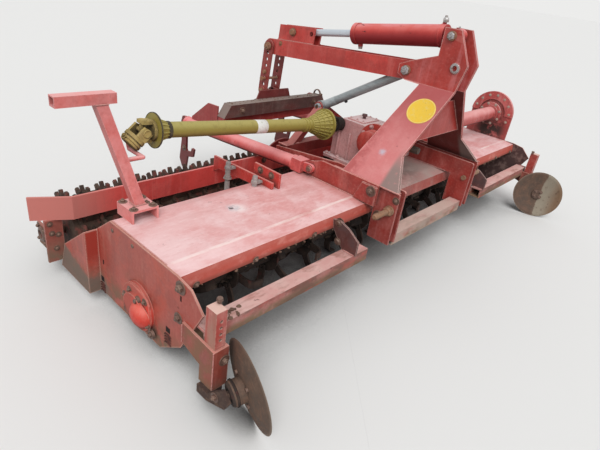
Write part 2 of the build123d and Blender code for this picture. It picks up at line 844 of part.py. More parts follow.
spindle_end = (foot_x + foot_t - disc_x) / -disc_n.X
eye = on_spindle((foot_x + foot_t / 2 - disc_x) / -disc_n.X)
foot_points = [(shank_back, shank_low), (shank_back, foot_top), (shank_front, foot_top),
               (eye.Y, eye.Z + foot_eye_r), (eye.Y - foot_eye_r, eye.Z),
               (eye.Y - foot_eye_r / 2, eye.Z - foot_eye_r), (shank_front, shank_low)]
outside = block(-foot_x - foot_t * 3, -foot_x - foot_t, shank_front * 2, 0, 0, shank_top)
shank_bar = block(shank_x0, shank_x1, shank_front, shank_back, shank_low, shank_top)
shank_mid = (shank_x0 + shank_x1) / 2
for z in shank_holes:
    shank_bar = shank_bar - rod((shank_mid, shank_front, z), (shank_mid, shank_back, z), shank_hole_r)
save_pair("disc_shank", join(
    shank_bar,
    block(-foot_x, shank_x1, shank_front, shank_back, shank_low, foot_top),
    plate_x(foot_points, -foot_x - foot_t, -foot_x),
    rod(on_spindle(spindle_in), on_spindle(spindle_end), spindle_r) - outside))

# Discs: spherical dish with a hub
hub_end = disc_dish + hub_t
ball_r = (disc_r * disc_r + disc_dish * disc_dish) / (2 * disc_dish)
ball_z = disc_dish - ball_r
slab = Pos(0, 0, disc_dish / 2) * Cylinder(disc_r, disc_dish + end_gap)
dish = (Pos(0, 0, ball_z) * Sphere(ball_r) & slab) - Pos(0, 0, ball_z) * Sphere(ball_r - disc_t)
disc = join(
    Plane(origin=disc_c, z_dir=disc_n).location * dish,
    rod(on_spindle(disc_dish - disc_t - hub_cap_t), on_spindle(hub_end), hub_cap_r),
    rod(on_spindle(disc_dish - disc_t / 2), on_spindle(hub_end), hub_r))
save_pair("disc", disc - rod(on_spindle(spindle_in - end_gap), on_spindle(hub_end), spindle_r + run_fit))

# Stowed drive shaft: steel core with a joint at each end, inside an olive plastic guard
shaft_x_dir = Vector(0, 0, 1)
shaft_plane = Plane(origin=on_shaft(0), x_dir=shaft_x_dir - shaft_unit * shaft_x_dir.dot(shaft_unit),
                    z_dir=shaft_unit)
reach = fork_len - cross_pin_r - end_gap      # fork's root to the joint's centre
hub_r_end = shaft_core_r + fork_t
guard_a = shaft_len * guard_start
guard_b = shaft_len * guard_end
guard_rim = guard_b + outer_bell_len
joint_a = guard_a - reach - fork_t - end_gap
joint_b = guard_rim + end_gap + fork_t + reach
straight = shaft_plane.location
hanging = shaft_plane.location * Pos(0, 0, joint_b) * Rot(0, -outer_bend, 0) * Pos(0, 0, -joint_b)


def along_shaft(a, b, r):
    return rod(on_shaft(a), on_shaft(b), r)


def fork(place, start, way, turn):
    """Fork of a shaft joint: round hub at start and two prongs, pointing up or down the shaft."""
    prong_x = fork_r - fork_t / 2
    low = start if way > 0 else start - fork_len
    prongs = [Pos(side * prong_x, 0, low + fork_len / 2) * Box(fork_t, fork_r, fork_len) for side in (-1, 1)]
    hub = Pos(0, 0, start - way * fork_t / 2) * Cylinder(fork_r, fork_t)
    return place * Rot(0, 0, turn) * join(hub, *prongs)


def joint(centre, outer_place):
    """Universal joint: two forks at right angles on a cross."""
    arms = [Rot(0, 0, turn) * Rot(0, 90, 0) * Cylinder(cross_pin_r, 2 * fork_r) for turn in (0, 90)]
    return [fork(straight, centre - reach, 1, 0), fork(outer_place, centre + reach, -1, 90),
            straight * Pos(0, 0, centre) * join(*arms)]


yoke_mid = (joint_b + reach + shaft_len) / 2
yoke_hub = hanging * Pos(0, 0, yoke_mid) * Cylinder(hub_r_end, shaft_len - joint_b - reach)
core = join(
    along_shaft(joint_a + reach, joint_b - reach, shaft_core_r), *joint(joint_a, straight),
    *joint(joint_b, hanging), yoke_hub, along_shaft(core_start, joint_a - reach, hub_r_end))
core = core - along_shaft(0, park_stub_len + end_gap, park_stub_r + run_fit)
save("drive_shaft_core", core)
bore_r = shaft_core_r + guard_fit
bell_end = guard_a + bell_len
guard = join(
    along_shaft(guard_a, guard_b, guard_r),
    cone(on_shaft(guard_a), on_shaft(bell_end), bell_r, guard_r),
    along_shaft(guard_a, guard_a + bell_rim_t, bell_rim_r),
    cone(on_shaft(guard_b - end_gap), on_shaft(guard_rim), guard_r, outer_bell_r),
    along_shaft(guard_rim - outer_rim_t, guard_rim, outer_rim_r))
save("drive_shaft_guard", guard - along_shaft(0, shaft_len, bore_r))
yoke_foot = (hanging * Pos(-hub_r_end, 0, shaft_len)).position      # lowest point of the hanging yoke

# Stand for the stowed drive shaft: raised base, leaning post, cross bar and a hook
half = stand_base / 2
plate_top = hood_top + stand_base_h + stand_plate_t
bar_low = bar_z - bar_high / 2


def on_post(z):
    """Point on the leaning post's axis at a height."""
    rise = z - plate_top
    return Vector(-stand_x - stand_lean_x * rise, stand_y + stand_lean_y * rise, z)


stand_left = -stand_x - half
stand_right = -stand_x + half
save("shaft_stand_base", join(
    block(stand_left, stand_right, stand_y - half, stand_y + half, plate_top - stand_plate_t, plate_top),
    block(stand_left, stand_left + stand_leg_t, stand_y - half, stand_y + half, hood_top, plate_top),
    block(stand_right - stand_leg_t, stand_right, stand_y - half, stand_y + half, hood_top, plate_top)))
post_ends = [on_post(z) for z in (plate_top - stand_tube, bar_low + stand_tube)]
post = square_tube(*post_ends, stand_tube, stand_tube, stand_wall, (0, 1, 0))
post = post & block(-bar_out, 0, 0, 2 * shaft_out_y, plate_top, bar_low)
yoke_x = yoke_foot.X
yoke_z = yoke_foot.Z - hook_r - holder_fit
cradle = [Vector(on_post(yoke_z).X + stand_tube / 2 - stand_wall, hook_front, yoke_z),
          Vector(yoke_x, hook_front, yoke_z), Vector(yoke_x, hook_rear - 2 * hook_r, yoke_z),
          Vector(yoke_x, hook_rear, yoke_z + hook_rise)]
hook = join(*[rod(a, b, hook_r) for a, b in zip(cradle, cradle[1:])])
hook = join(hook, *[Pos(*p) * Sphere(hook_r) for p in cradle[1:-1]])
bar_y = on_post(bar_z).Y
cross_bar = square_tube((-bar_out, bar_y, bar_z), (-bar_in, bar_y, bar_z), bar_deep, bar_high, stand_wall)
save("shaft_stand_post", join(post, cross_bar, hook))

# Packer roller: hollow drum with end plates, stub axles and toothed rings
drum = rod_x(-drum_half, drum_half, roller_y, roller_z, drum_r)
drum = drum - rod_x(-drum_half + drum_end_t, drum_half - drum_end_t, roller_y, roller_z, drum_r - drum_wall)
axle_end = leg_x + axle_out
save("packer_drum", drum + rod_x(-axle_end, -drum_half, roller_y, roller_z, axle_r)
     + rod_x(drum_half, axle_end, roller_y, roller_z, axle_r))
tooth_points = []
for k in range(tooth_count):
    for share, r in ((-tooth_flat / 2 - tooth_rise, roller_root_r), (-tooth_flat / 2, roller_tip_r),
                     (tooth_flat / 2, roller_tip_r), (tooth_flat / 2 + tooth_rise, roller_root_r)):
        a = radians((k + share) * 360 / tooth_count)
        tooth_points.append((roller_y + r * cos(a), roller_z + r * sin(a)))
ring_xs = [(i - (ring_count - 1) / 2) * ring_pitch for i in range(ring_count)]
rings = []
for x in ring_xs:
    blank = plate_x(tooth_points, x - ring_t / 2, x + ring_t / 2)
    rings.append(blank - rod_x(x - ring_t, x + ring_t, roller_y, roller_z, drum_r + run_fit))
save("packer_rings", *rings)

# Packer board: folded strip that carries the roller's legs at its swept ends
board_plan = sheet([(-board_tip_x, board_tip_y), (-board_bend_x, board_y), (board_bend_x, board_y),
                    (board_tip_x, board_tip_y)], -board_t)
save("packer_board", plate_z(board_plan, board_low, board_high))

# Packer legs: flange under the board's end, and an arm back to the axle's bearing
arm_out = leg_x + leg_t / 2
boss_top = roller_z + axle_boss_r
arm_low = leg_low + leg_t
arm_plate = [(leg_y, board_low), (leg_y, arm_low), (leg_rear_y, arm_low), (leg_rear_y, boss_top),
             (leg_knee_y, boss_top), (leg_y + 2 * leg_t, board_low)]
leg = join(
    block(-leg_x - leg_w / 2, -leg_x + leg_w / 2, leg_y, leg_y + leg_t, leg_low, board_low),
    plate_x(arm_plate, -arm_out, -arm_out + leg_t),
    rod_x(-arm_out, -arm_out + leg_t + axle_boss_out, roller_y, roller_z, axle_boss_r))
save_pair("packer_leg", leg - rod_x(-axle_end, -arm_out + 2 * leg_t + axle_boss_out, roller_y, roller_z,
                                    axle_r + run_fit))

# Hangers from the hood to the packer board, with their adjusting screws
hanger_points = [(hanger_front, hood_top), (hanger_front, hanger_high), (board_y, hanger_rear_high),
                 (board_y, hanger_rear_low), (hanger_knee_y, hanger_knee_z),
                 (apron_face(hanger_toe_z), hanger_toe_z), (hood_rear, hood_top)]
ear_points = [(ear_front, hood_top), (ear_front, ear_high), (ear_rear, ear_high), (ear_rear, hood_top)]
hanger_out = hanger_x + hanger_t / 2
screws = []
for y, low in ((screw_front_y, hood_top), (screw_rear_y, screw_rear_low)):
    nut = block(-screw_x - screw_block / 2, -hanger_out, y - screw_block / 2, y + screw_block / 2,
                hood_top + hanger_t, hanger_high - hanger_t)
    screws.append(join(nut, rod((-screw_x, y, low), (-screw_x, y, screw_high), screw_r)))
save_pair("packer_hangers", plate_x(hanger_points, -hanger_out, -hanger_out + hanger_t),
          plate_x(ear_points, -ear_x - hanger_t / 2, -ear_x + hanger_t / 2))
save("packer_screws", *screws, *[mirrored(screw) for screw in screws])

# Scraper blades between the rings, on the back of the board
board_back = board_y + board_t
scraper_line = [(board_back, scraper_top), (board_back, scraper_bend), (scraper_tip_y, scraper_tip_z)]
scraper_section = sheet(scraper_line, -scraper_t)
scraper_xs = [x + ring_pitch / 2 for x in ring_xs[:-1]]
save("packer_scrapers", *[plate_x(scraper_section, x - scraper_w / 2, x + scraper_w / 2) for x in scraper_xs])

# Half-ring bracket standing on the packer board
arch = Cylinder(arch_r, arch_t) - Cylinder(arch_r - arch_band, arch_t)
arch = Pos(arch_x, board_y + board_t / 2, arch_z) * Rot(90, 0, 0) * arch
above_board = block(arch_x - arch_r, arch_x + arch_r, board_y - arch_t, board_back + arch_t, board_high,
                    arch_z + 2 * arch_r)
save("packer_arch", arch & above_board)

# Rear frame: cross tube between the inner cheeks and an A-frame to the stay's foot
beam_y = beam_front + beam_size / 2
beam_top = hood_top + beam_size
inner_face = cheek_in_x - cheek_half
beam_z = hood_top + beam_size / 2
beam_ends = [(x, beam_y, beam_z) for x in (-inner_face, inner_face)]
cross_tube = square_tube(*beam_ends, beam_size, beam_size, tube_wall)
foot = Vector(-frame_foot_x, beam_y, beam_top)
apex = Vector(0, apex_y, apex_z)
leg_unit = (apex - foot).normalized()
ear_out = apex_ear_x + apex_ear_t
ear_foot = foot + leg_unit * ((frame_foot_x - ear_out) / leg_unit.X)
leg_tube = square_tube(foot - leg_unit * apex_tube, apex, apex_tube, apex_tube, apex_wall)
leg_tube = leg_tube & block(-2 * frame_foot_x, -ear_out, 0, 2 * apex_y, beam_top, 2 * apex_z)
ears = bar_x((ear_foot.Y, ear_foot.Z), (apex_y, apex_z), apex_ear_r, -ear_out, -apex_ear_x)
a_frame = join(leg_tube, ears)
pin_bore = rod_x(-2 * ear_out, 2 * ear_out, apex_y, apex_z, apex_pin_r)
a_frame = a_frame - pin_bore
save("rear_frame", join(cross_tube, a_frame, mirrored(a_frame)))

# Stay: round bar with an eye at each end
top_eye = Vector(0, lever_y, lever_z)
stay_unit = (apex - top_eye).normalized()
stay = join(
    rod_x(-stay_eye_half, stay_eye_half, lever_y, lever_z, stay_eye_r),
    rod_x(-stay_eye_half, stay_eye_half, apex_y, apex_z, stay_eye_r),
    rod(top_eye + stay_unit * stay_start, apex - stay_unit * stay_start, stay_r))
stay = stay - rod_x(-stay_r, stay_r, lever_y, lever_z, lever_pin_r)
save("mast_stay", stay - rod_x(-stay_r, stay_r, apex_y, apex_z, apex_pin_r))

# Lift lever: two flat bars between the mast plates, with lugs for the cylinder's eye
bar_out_x = mast_x - lever_gap
bar_in_x = bar_out_x - lever_t
lug_in = bar_in_x - lug_t
bar = bar_x((lever_y, lever_z), (lever_end_y, lever_end_z), lever_half_h, -bar_out_x, -bar_in_x)
bar = bar - rod_x(-bar_out_x, -bar_in_x, lever_y, lever_z, lever_pin_r)
bar = bar - rod_x(-bar_out_x, -bar_in_x, lever_end_y, lever_end_z, lever_pin_r)
lug = plate_x(lug_outline, -bar_in_x, -lug_in)
lug = lug - rod_x(-bar_in_x, -lug_in, eye_y, eye_z, eye_pin_r + run_fit)
lug = lug - rod_x(-bar_in_x, -lug_in, lever_end_y, lever_end_z, lever_half_h)
save_pair("lever", join(bar, lug))
eye_head = bar_in_x + lever_gap + pin_head_t / 2
rod_eye_pin = join(
    rod_x(-eye_head, eye_head, eye_y, eye_z, eye_pin_r),
    rod_x(-eye_head, -bar_in_x, eye_y, eye_z, eye_pin_r + pin_head_step),
    rod_x(bar_in_x, eye_head, eye_y, eye_z, eye_pin_r + pin_head_step))
link_in = bar_out_x + link_gap
link_out = link_in + link_t
head_in = link_out + lever_gap
save("lever_pins", rod_eye_pin, join(
    rod_x(-head_in - pin_head_t, head_in + pin_head_t, lever_end_y, lever_end_z, lever_pin_r - run_fit),
    rod_x(-head_in - pin_head_t, -head_in, lever_end_y, lever_end_z, lever_pin_r + pin_head_step),
    rod_x(head_in, head_in + pin_head_t, lever_end_y, lever_end_z, lever_pin_r + pin_head_step)))

# Lift cylinder: barrel pinned to the mast, rod with an eye on the lever's lugs
cyl_pin = Vector(0, cyl_y, cyl_z)
cyl_dir = Vector(0, eye_y, eye_z) - cyl_pin
cyl_len = cyl_dir.length
cyl_unit = cyl_dir.normalized()
cyl_up = Vector(0, -cyl_unit.Z, cyl_unit.Y)


def on_cyl(along, up=0.0):
    return cyl_pin + cyl_unit * along + cyl_up * up


tongue = Plane(origin=on_cyl(barrel_start / 2), x_dir=(1, 0, 0), z_dir=cyl_unit).location * Box(
    2 * cyl_eye_half, 2 * cyl_eye_r, barrel_start)
barrel = join(
    rod_x(-cyl_eye_half, cyl_eye_half, cyl_y, cyl_z, cyl_eye_r), tongue,
    rod(on_cyl(barrel_start), on_cyl(barrel_end), barrel_r),
    rod(on_cyl(barrel_end - barrel_rim_t), on_cyl(barrel_end), barrel_r + barrel_rim),
    rod(on_cyl(port_along, barrel_r / 2), on_cyl(port_along - port_lean, barrel_r + port_rise), port_r),
    Pos(*on_cyl(port_along - port_lean, barrel_r + port_rise)) * Sphere(port_ball_r))
barrel = barrel - rod_x(-barrel_r, barrel_r, cyl_y, cyl_z, cyl_pin_r)
save("cylinder_barrel", barrel - rod(on_cyl(bore_floor), on_cyl(barrel_end + end_gap), rod_r + run_fit))
piston = join(
    rod(on_cyl(barrel_end - rod_in), on_cyl(cyl_len), rod_r),
    rod_x(-eye_half, eye_half, eye_y, eye_z, eye_r))
save("cylinder_rod", piston - rod_x(-eye_r, eye_r, eye_y, eye_z, eye_hole_r))

# Lift link: two perforated flats from the lever's end to the hitch; the lower pivot is left open
flat = bar_x((lever_end_y, lever_end_z), (link_low_y, link_low_z), link_w / 2, -link_out, -link_in)
flat = flat - rod_x(-link_out, -link_in, lever_end_y, lever_end_z, lever_pin_r)
for i in range(1, link_holes):
    share = i / link_holes
    y = lever_end_y + (link_low_y - lever_end_y) * share
    z = lever_end_z + (link_low_z - lever_end_z) * share
    flat = flat - rod_x(-link_out, -link_in, y, z, link_hole_r)
flat = flat + rod_x(-link_out - link_head_t, -link_out, link_low_y, link_low_z, link_head_r)
save("lift_link", flat, mirrored(flat))

# Lift arms: forged tongue, square block and a long pipe
arm_start = Vector(-arm_x, arm_block_y + arm_block, arm_start_z)
arm_end = Vector(-arm_x, arm_end_y, arm_end_z)
arm_unit = (arm_end - arm_start).normalized()
pipe = rod(arm_start - arm_unit * arm_r, arm_end + arm_unit * arm_r, arm_r)
pipe_cutter = rod(arm_start, arm_end + arm_unit * arm_r, arm_r + run_fit)
pipe = pipe & block(-arm_x - arm_block, -arm_x + arm_block, arm_block_y + arm_block, arm_end_y, 0, lever_z)
tongue_end = (arm_block_y + arm_block / 2, (arm_block_low + arm_block_high) / 2)
lift_arm = join(
    bar_x((arm_pin_y, arm_pin_z), tongue_end, arm_eye_r, -tongue_x1, -tongue_x0),
    block(-arm_x - arm_block / 2, -arm_x + arm_block / 2, arm_block_y, arm_block_y + arm_block, arm_block_low,
          arm_block_high),
    pipe)
lift_arm = lift_arm - rod_x(-tongue_x1, -tongue_x0, arm_pin_y, arm_pin_z, arm_pin_r)
save_pair("lift_arm", lift_arm)

# Hitch beam across the arms, its web and legs
hitch_back = hitch_y + hitch_depth
save("hitch_beam", plate_y([(-hitch_half, hitch_high), (hitch_half, hitch_high), (hitch_foot_half, hitch_low),
                            (-hitch_foot_half, hitch_low)], hitch_y, hitch_back))
leg_in_x = arm_x - hitch_leg_t / 2
web_y = hitch_y + web_in
hitch_leg = block(-arm_x - hitch_leg_t / 2, -leg_in_x, hitch_y + hitch_leg_in, hitch_back - hitch_leg_in,
                  arm_end_z, hitch_low)
hitch_leg = hitch_leg - pipe_cutter
hitch_leg = hitch_leg.solids().sort_by(Axis.Z)[-1]
gusset_points = [(hitch_back, gusset_top)] + [(hitch_back + y, z) for y, z in gusset_outline]
gusset = plate_x(gusset_points, -arm_x - hitch_gusset_t, -arm_x) - pipe_cutter
gusset = gusset.solids().sort_by(Axis.Z)[-1]
save("hitch_supports", join(
    block(-leg_in_x, leg_in_x, web_y, web_y + web_t, web_low, hitch_low), hitch_leg, mirrored(hitch_leg)),
     gusset, mirrored(gusset))

# Hitch tower: plate behind the beam with two lugs for the lift link
tower_back = hitch_back + tower_t
lug_points = [(tower_back + y, z) for z, y in tower_lug]
tower_lugs = []
for x0, x1 in ((-lug_in_x - lug_plate_t, -lug_in_x), (lug_in_x, lug_in_x + lug_plate_t)):
    tower_lugs.append(plate_x(lug_points, x0, x1) - rod_x(x0, x1, link_low_y, link_low_z, tower_hole_r))
tower_points = [(-tower_half, hitch_low), (tower_half, hitch_low), (tower_top_half, tower_top),
                (-tower_top_half, tower_top)]
save("hitch_tower", join(plate_y(tower_points, hitch_back, tower_back), *tower_lugs))

# Hooks at the arms' ends
hook_points = [(arm_end_y + y, z) for y, z in hook_plate]
save("hitch_hooks", plate_x(hook_points, -arm_x - hook_plate_t / 2, -arm_x + hook_plate_t / 2),
     plate_x(hook_points, arm_x - hook_plate_t / 2, arm_x + hook_plate_t / 2))
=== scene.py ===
import random
from math import cos, pi, radians, sin

import bmesh
import bpy
from mathutils import Matrix, Vector, noise


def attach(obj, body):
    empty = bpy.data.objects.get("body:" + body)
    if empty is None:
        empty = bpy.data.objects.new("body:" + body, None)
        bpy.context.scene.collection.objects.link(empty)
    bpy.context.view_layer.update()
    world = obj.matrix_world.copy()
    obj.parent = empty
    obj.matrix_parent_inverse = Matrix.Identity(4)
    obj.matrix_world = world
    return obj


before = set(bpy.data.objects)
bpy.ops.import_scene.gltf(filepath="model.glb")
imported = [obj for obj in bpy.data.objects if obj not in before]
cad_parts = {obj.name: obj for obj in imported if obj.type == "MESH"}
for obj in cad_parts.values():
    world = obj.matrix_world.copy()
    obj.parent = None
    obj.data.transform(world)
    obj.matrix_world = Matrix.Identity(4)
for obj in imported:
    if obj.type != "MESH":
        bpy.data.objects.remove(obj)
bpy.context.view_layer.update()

# Camera
# Stands at the machine's left front corner at eye height, looking down over the hood; held slightly
# turned, as in the photograph.
eye = Vector((-2.3, -1.64, 1.41))
right = Vector((0.67829556, -0.72252284, 0.13370068))
up = Vector((0.26454986, 0.40988898, 0.87292863))
back = right.cross(up)
focal = 466.93
picture_width = 600
camera = bpy.data.objects.new("camera", bpy.data.cameras.new("camera"))
camera.data.sensor_width = 36.0
camera.data.lens = focal / picture_width * camera.data.sensor_width
camera.matrix_world = Matrix.Translation(eye) @ Matrix((right, up, back)).transposed().to_4x4()
bpy.context.scene.collection.objects.link(camera)
bpy.context.scene.camera = camera

# Hood
# Three folded sheet-steel sections over the rotor, welded end to end. The red paint has gone pink on
# top in the sun, with pale dust lying on it; pale lines along the crease and the front fold are
# painted highlights.


def tint(colour, share=1.0):
    """A painter's chart colour, 0 to 255, turned into light and darkened to a share."""
    light = [((c / 255 + 0.055) / 1.055) ** 2.4 if c > 10 else c / 255 / 12.92 for c in colour]
    return tuple(share * c for c in light) + (1.0,)


class Finish:
    """A surface in layers on the piece's own coordinates: its base, then what time has put on it, and
    painted light and shade.
    """

    def __init__(self, name, base, rough=0.5, metal=0.0):
        self.material = bpy.data.materials.new(name)
        self.material.use_nodes = True
        self.tree = self.material.node_tree
        self.shader = self.tree.nodes["Principled BSDF"]
        coordinates = self.tree.nodes.new("ShaderNodeTexCoord")
        self.place = coordinates.outputs["Object"]
        normal = coordinates.outputs["Normal"]
        self.across, self.along, self.facing = self.add("SeparateXYZ", normal).outputs
        self.x, self.y, self.z = self.add("SeparateXYZ", self.place).outputs
        self.colour = self.steady("RGB", tint(base))
        self.rough = self.steady("Value", rough)
        self.metal = self.steady("Value", metal)
        self.relief = self.steady("Value", 0.0)

    def steady(self, kind, value):
        output = self.add(kind).outputs[0]
        output.default_value = value
        return output

    def add(self, kind, *inputs, **settings):
        """A shader node with its inputs in order: numbers, colours or other nodes' outputs."""
        node = self.tree.nodes.new("ShaderNode" + kind)
        for name, value in settings.items():
            setattr(node, name, value)
        for socket, value in zip(node.inputs, inputs):
            if isinstance(value, bpy.types.NodeSocket):
                self.tree.links.new(value, socket)
            elif value is not None:
                socket.default_value = value
        return node

    def math(self, operation, *inputs, **settings):
        return self.add("Math", *inputs, operation=operation, **settings).outputs[0]

    def vector(self, operation, first, second, output="Value"):
        return self.add("VectorMath", first, second, operation=operation).outputs[output]

    def grain(self, size, detail=3.0, stretch=(1, 1, 1), shift=0.0, twist=0.0):
        """Cloudy variation, its patches about size metres across."""
        spot = self.add("Mapping", self.place, (shift, 1.7 * shift, 0.6 * shift), (0, 0, 0), stretch)
        cloud = self.add("TexNoise", spot.outputs[0])
        cloud.inputs["Scale"].default_value = 1 / size
        cloud.inputs["Detail"].default_value = detail
        cloud.inputs["Roughness"].default_value = 0.62
        cloud.inputs["Distortion"].default_value = twist
        return cloud.outputs[0]

    def band(self, value, low, high, top=1.0):
        """Nothing below low, rising smoothly to top at high; low may be the larger."""
        return self.add("MapRange", value, low, high, 0.0, top,
                        interpolation_type="SMOOTHSTEP").outputs[0]

    def patch(self, size, low, high, top=1.0, detail=5.0, **more):
        """Clouds cut off to patches: how far a band of grain goes."""
        return self.band(self.grain(size, detail, **more), low, high, top)

    def line(self, value, middle, half, top=1.0):
        """A soft stripe where value passes middle."""
        off = self.math("SUBTRACT", value, middle)
        return self.band(self.math("ABSOLUTE", off), half, 0.3 * half, top)

    def spot(self, centre, low, high, top=1.0):
        """A soft round patch: top inside low metres from the centre, nothing beyond high."""
        return self.band(self.vector("DISTANCE", self.place, centre), high, low, top)

    def sum(self, *values):
        total = values[0]
        for value in values[1:]:
            total = self.math("ADD", total, value, use_clamp=True)
        return total

    def times(self, *values):
        total = values[0]
        for value in values[1:]:
            total = self.math("MULTIPLY", total, value)
        return total

    def edge(self, radius, low=0.01, high=0.16):
        """The outer few millimetres along every edge."""
        rounded = self.add("Bevel", radius, samples=4).outputs[0]
        flat = self.add("NewGeometry").outputs["Normal"]
        return self.band(self.vector("DOT_PRODUCT", rounded, flat), 1 - low, 1 - high)

    def corner(self, reach, low=0.75, high=0.35, top=1.0, samples=4):
        """Where another surface is close by: a mask for the dirt that stays there and for painted
        shade.
        """
        open_share = self.add("AmbientOcclusion", None, reach, samples=samples).outputs["AO"]
        return self.band(open_share, low, high, top)

    def over(self, colour, rough, *shares, metal=None, lift=0.0):
        """Lays a colour, and what comes with it, over what is there, where all the shares agree."""
        share = self.times(*shares)
        light = colour if len(colour) == 4 else tint(colour)
        self.colour = self.add("MixRGB", share, self.colour, light).outputs[0]
        for name, value in (("rough", rough), ("metal", metal)):
            if value is not None:
                mixed = self.add("MapRange", share, 0.0, 1.0, getattr(self, name), value).outputs[0]
                setattr(self, name, mixed)
        if lift:
            self.relief = self.math("MULTIPLY_ADD", share, lift, self.relief)

    def done(self, *names):
        """Joins the layers to the shader and puts them on the named nodes; relief is in metres."""
        bump = self.add("Bump", 1.0, 1.0)
        self.tree.links.new(self.relief, bump.inputs["Height"])
        for name, output in (("Base Color", self.colour), ("Roughness", self.rough),
                             ("Metallic", self.metal), ("Normal", bump.outputs[0])):
            self.tree.links.new(output, self.shader.inputs[name])
        dress(self.material, *names)
        return self.material


def old_paint(name, fresh, faded, dust, fade=1.0, dusty=0.5, soil_top=0.3, wear=0.5, shift=0.0,
              grime_and_shade=0.7):
    """Paint on steel outdoors: sun on top, rain streaks, dust, splashed soil, chips and bare edges,
    with dirt and painted shade in crevices and painted shade on faces turned down.
    """
    f = Finish(name, fresh, rough=0.42)
    broad = f.grain(0.45, shift=shift)
    f.over(tint(fresh, 0.78), None, f.band(broad, 0.35, 0.7, 0.8))
    top = f.band(f.facing, 0.1, 0.85)
    wall = f.band(f.facing, 0.55, 0.1)
    cloudy = f.grain(0.16, 5.0, shift=shift + 3, twist=0.4)
    fine = f.grain(0.013, 4.0, shift=shift + 7)
    f.over(faded, 0.6, f.sum(f.times(top, fade), f.band(cloudy, 0.45, 0.75, 0.3 * fade)))
    deep = f.grain(0.22, 5.0, shift=shift + 17, twist=0.6)
    f.over(tint(fresh, 0.62), 0.35, wall, f.band(deep, 0.5, 0.64, 0.6))
    streaks = f.grain(0.045, 4.0, stretch=(1, 1, 0.06), shift=shift + 1)
    f.over(tint(fresh, 0.55), None, wall, f.band(streaks, 0.5, 0.74, 0.55))
    f.over(faded, 0.6, wall, f.band(streaks, 0.46, 0.3, 0.35))
    f.over(dust, 0.85, f.sum(f.times(top, 0.8), 0.2), f.band(cloudy, 0.34, 0.68, dusty))
    f.over(dust, 0.9, top, f.patch(0.03, 0.5, 0.7, 0.6 * dusty, 6.0, stretch=(0.25, 1, 1),
                                   shift=shift + 9))
    f.over(dust, 0.8, f.band(fine, 0.5, 0.75, 0.3 * dusty), lift=0.0002)
    f.over(tint(fresh, 0.5), None, f.band(fine, 0.5, 0.3, 0.3), f.sum(f.times(wall, 0.8), 0.2),
           lift=-0.0002)
    # Darker in crevices, where another surface is near: dirt, and painted shade.
    f.over((84, 54, 46), 0.9, f.corner(0.05, 0.7, 0.3, grime_and_shade))
    # Faces turned down darkened: painted shade.
    shade_below = f.band(f.facing, -0.3, -0.8, 0.85)
    f.over((38, 27, 25), 0.95, shade_below)
    patchy = f.patch(0.06, 0.3, 0.6, shift=shift + 5)
    f.over((128, 107, 88), 0.95, f.band(f.z, soil_top, 0.4 * soil_top), patchy, lift=0.0006)
    chips = f.patch(0.03, 0.66, 0.7, wear, 6.0, shift=shift + 11, twist=1.0)
    f.over((96, 60, 48), 0.8, chips, lift=-0.0004)
    scratches = f.grain(0.01, 2.0, stretch=(0.06, 1, 0.9), shift=shift + 13, twist=0.3)
    f.over(tint(dust, 1.05), 0.6, f.band(scratches, 0.7, 0.76, 0.6 * wear))
    f.over(tint(dust, 0.92), 0.6, f.edge(0.005), f.band(fine, 0.3, 0.55, min(1.0, 1.3 * wear)))
    return f


def dress(material, *names):
    """Puts a material on nodes of the model."""
    for name in names:
        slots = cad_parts[name].data.materials
        slots.clear()
        slots.append(material)


def piece(name, shape, material, body="frame", sharp=40):
    """A finished mesh as an object that rides on a body and takes its finish from a slot."""
    bmesh.ops.remove_doubles(shape, verts=shape.verts, dist=1e-06)
    bmesh.ops.recalc_face_normals(shape, faces=shape.faces)
    mesh = bpy.data.meshes.new(name)
    shape.to_mesh(mesh)
    shape.free()
    mesh.materials.append(material)
    mesh.shade_smooth()
    mesh.set_sharp_from_angle(angle=radians(sharp))
    made = bpy.data.objects.new(name, mesh)
    bpy.context.scene.collection.objects.link(made)
    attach(made, body)


def standing(point, axis):
    """Matrix that stands a piece's own Z on a point along an axis."""
    return Matrix.Translation(point) @ Vector(axis).to_track_quat("Z", "Y").to_matrix().to_4x4()


def add_rings(shape, point, axis, *rings):
    """Round or many-sided slices on one axis: sides, lower radius, upper radius, bottom and top."""
    for sides, low, high, bottom, top in rings:
        at = standing(point, axis) @ Matrix.Translation((0, 0, (bottom + top) / 2))
        bmesh.ops.create_cone(shape, cap_ends=True, segments=sides, radius1=low, radius2=high,
                              depth=top - bottom, matrix=at)


def add_bolt(shape, point, axis, size):
    """Hexagon head on a washer, chamfered, with the end of its thread; size is across flats."""
    r = 0.577 * size
    add_rings(shape, point, axis, (14, 1.05 * size, 1.05 * size, 0, 0.12 * size),
              (6, r, r, 0.12 * size, 0.5 * size), (6, r, 0.8 * r, 0.5 * size, 0.6 * size),
              (8, 0.28 * size, 0.24 * size, 0.6 * size, 0.8 * size))


def add_weld(shape, start, end, size):
    """A row of overlapping drops, as a weld lies."""
    run = Vector(end) - Vector(start)
    count = max(2, int(run.length / (0.9 * size)))
    for i in range(count + 1):
        spot = Vector(start) + run * (i / count)
        bmesh.ops.create_icosphere(shape, subdivisions=1, radius=size * random.uniform(0.85, 1.1),
                                   matrix=Matrix.Translation(spot))


def add_welds(shape, *runs):
    """The same welds on both sides, each with a start, an end and a size."""
    for side in (-1, 1):
        for start, end, size in runs:
            outward = Vector((side, 1, 1))
            add_weld(shape, Vector(start) * outward, Vector(end) * outward, size)


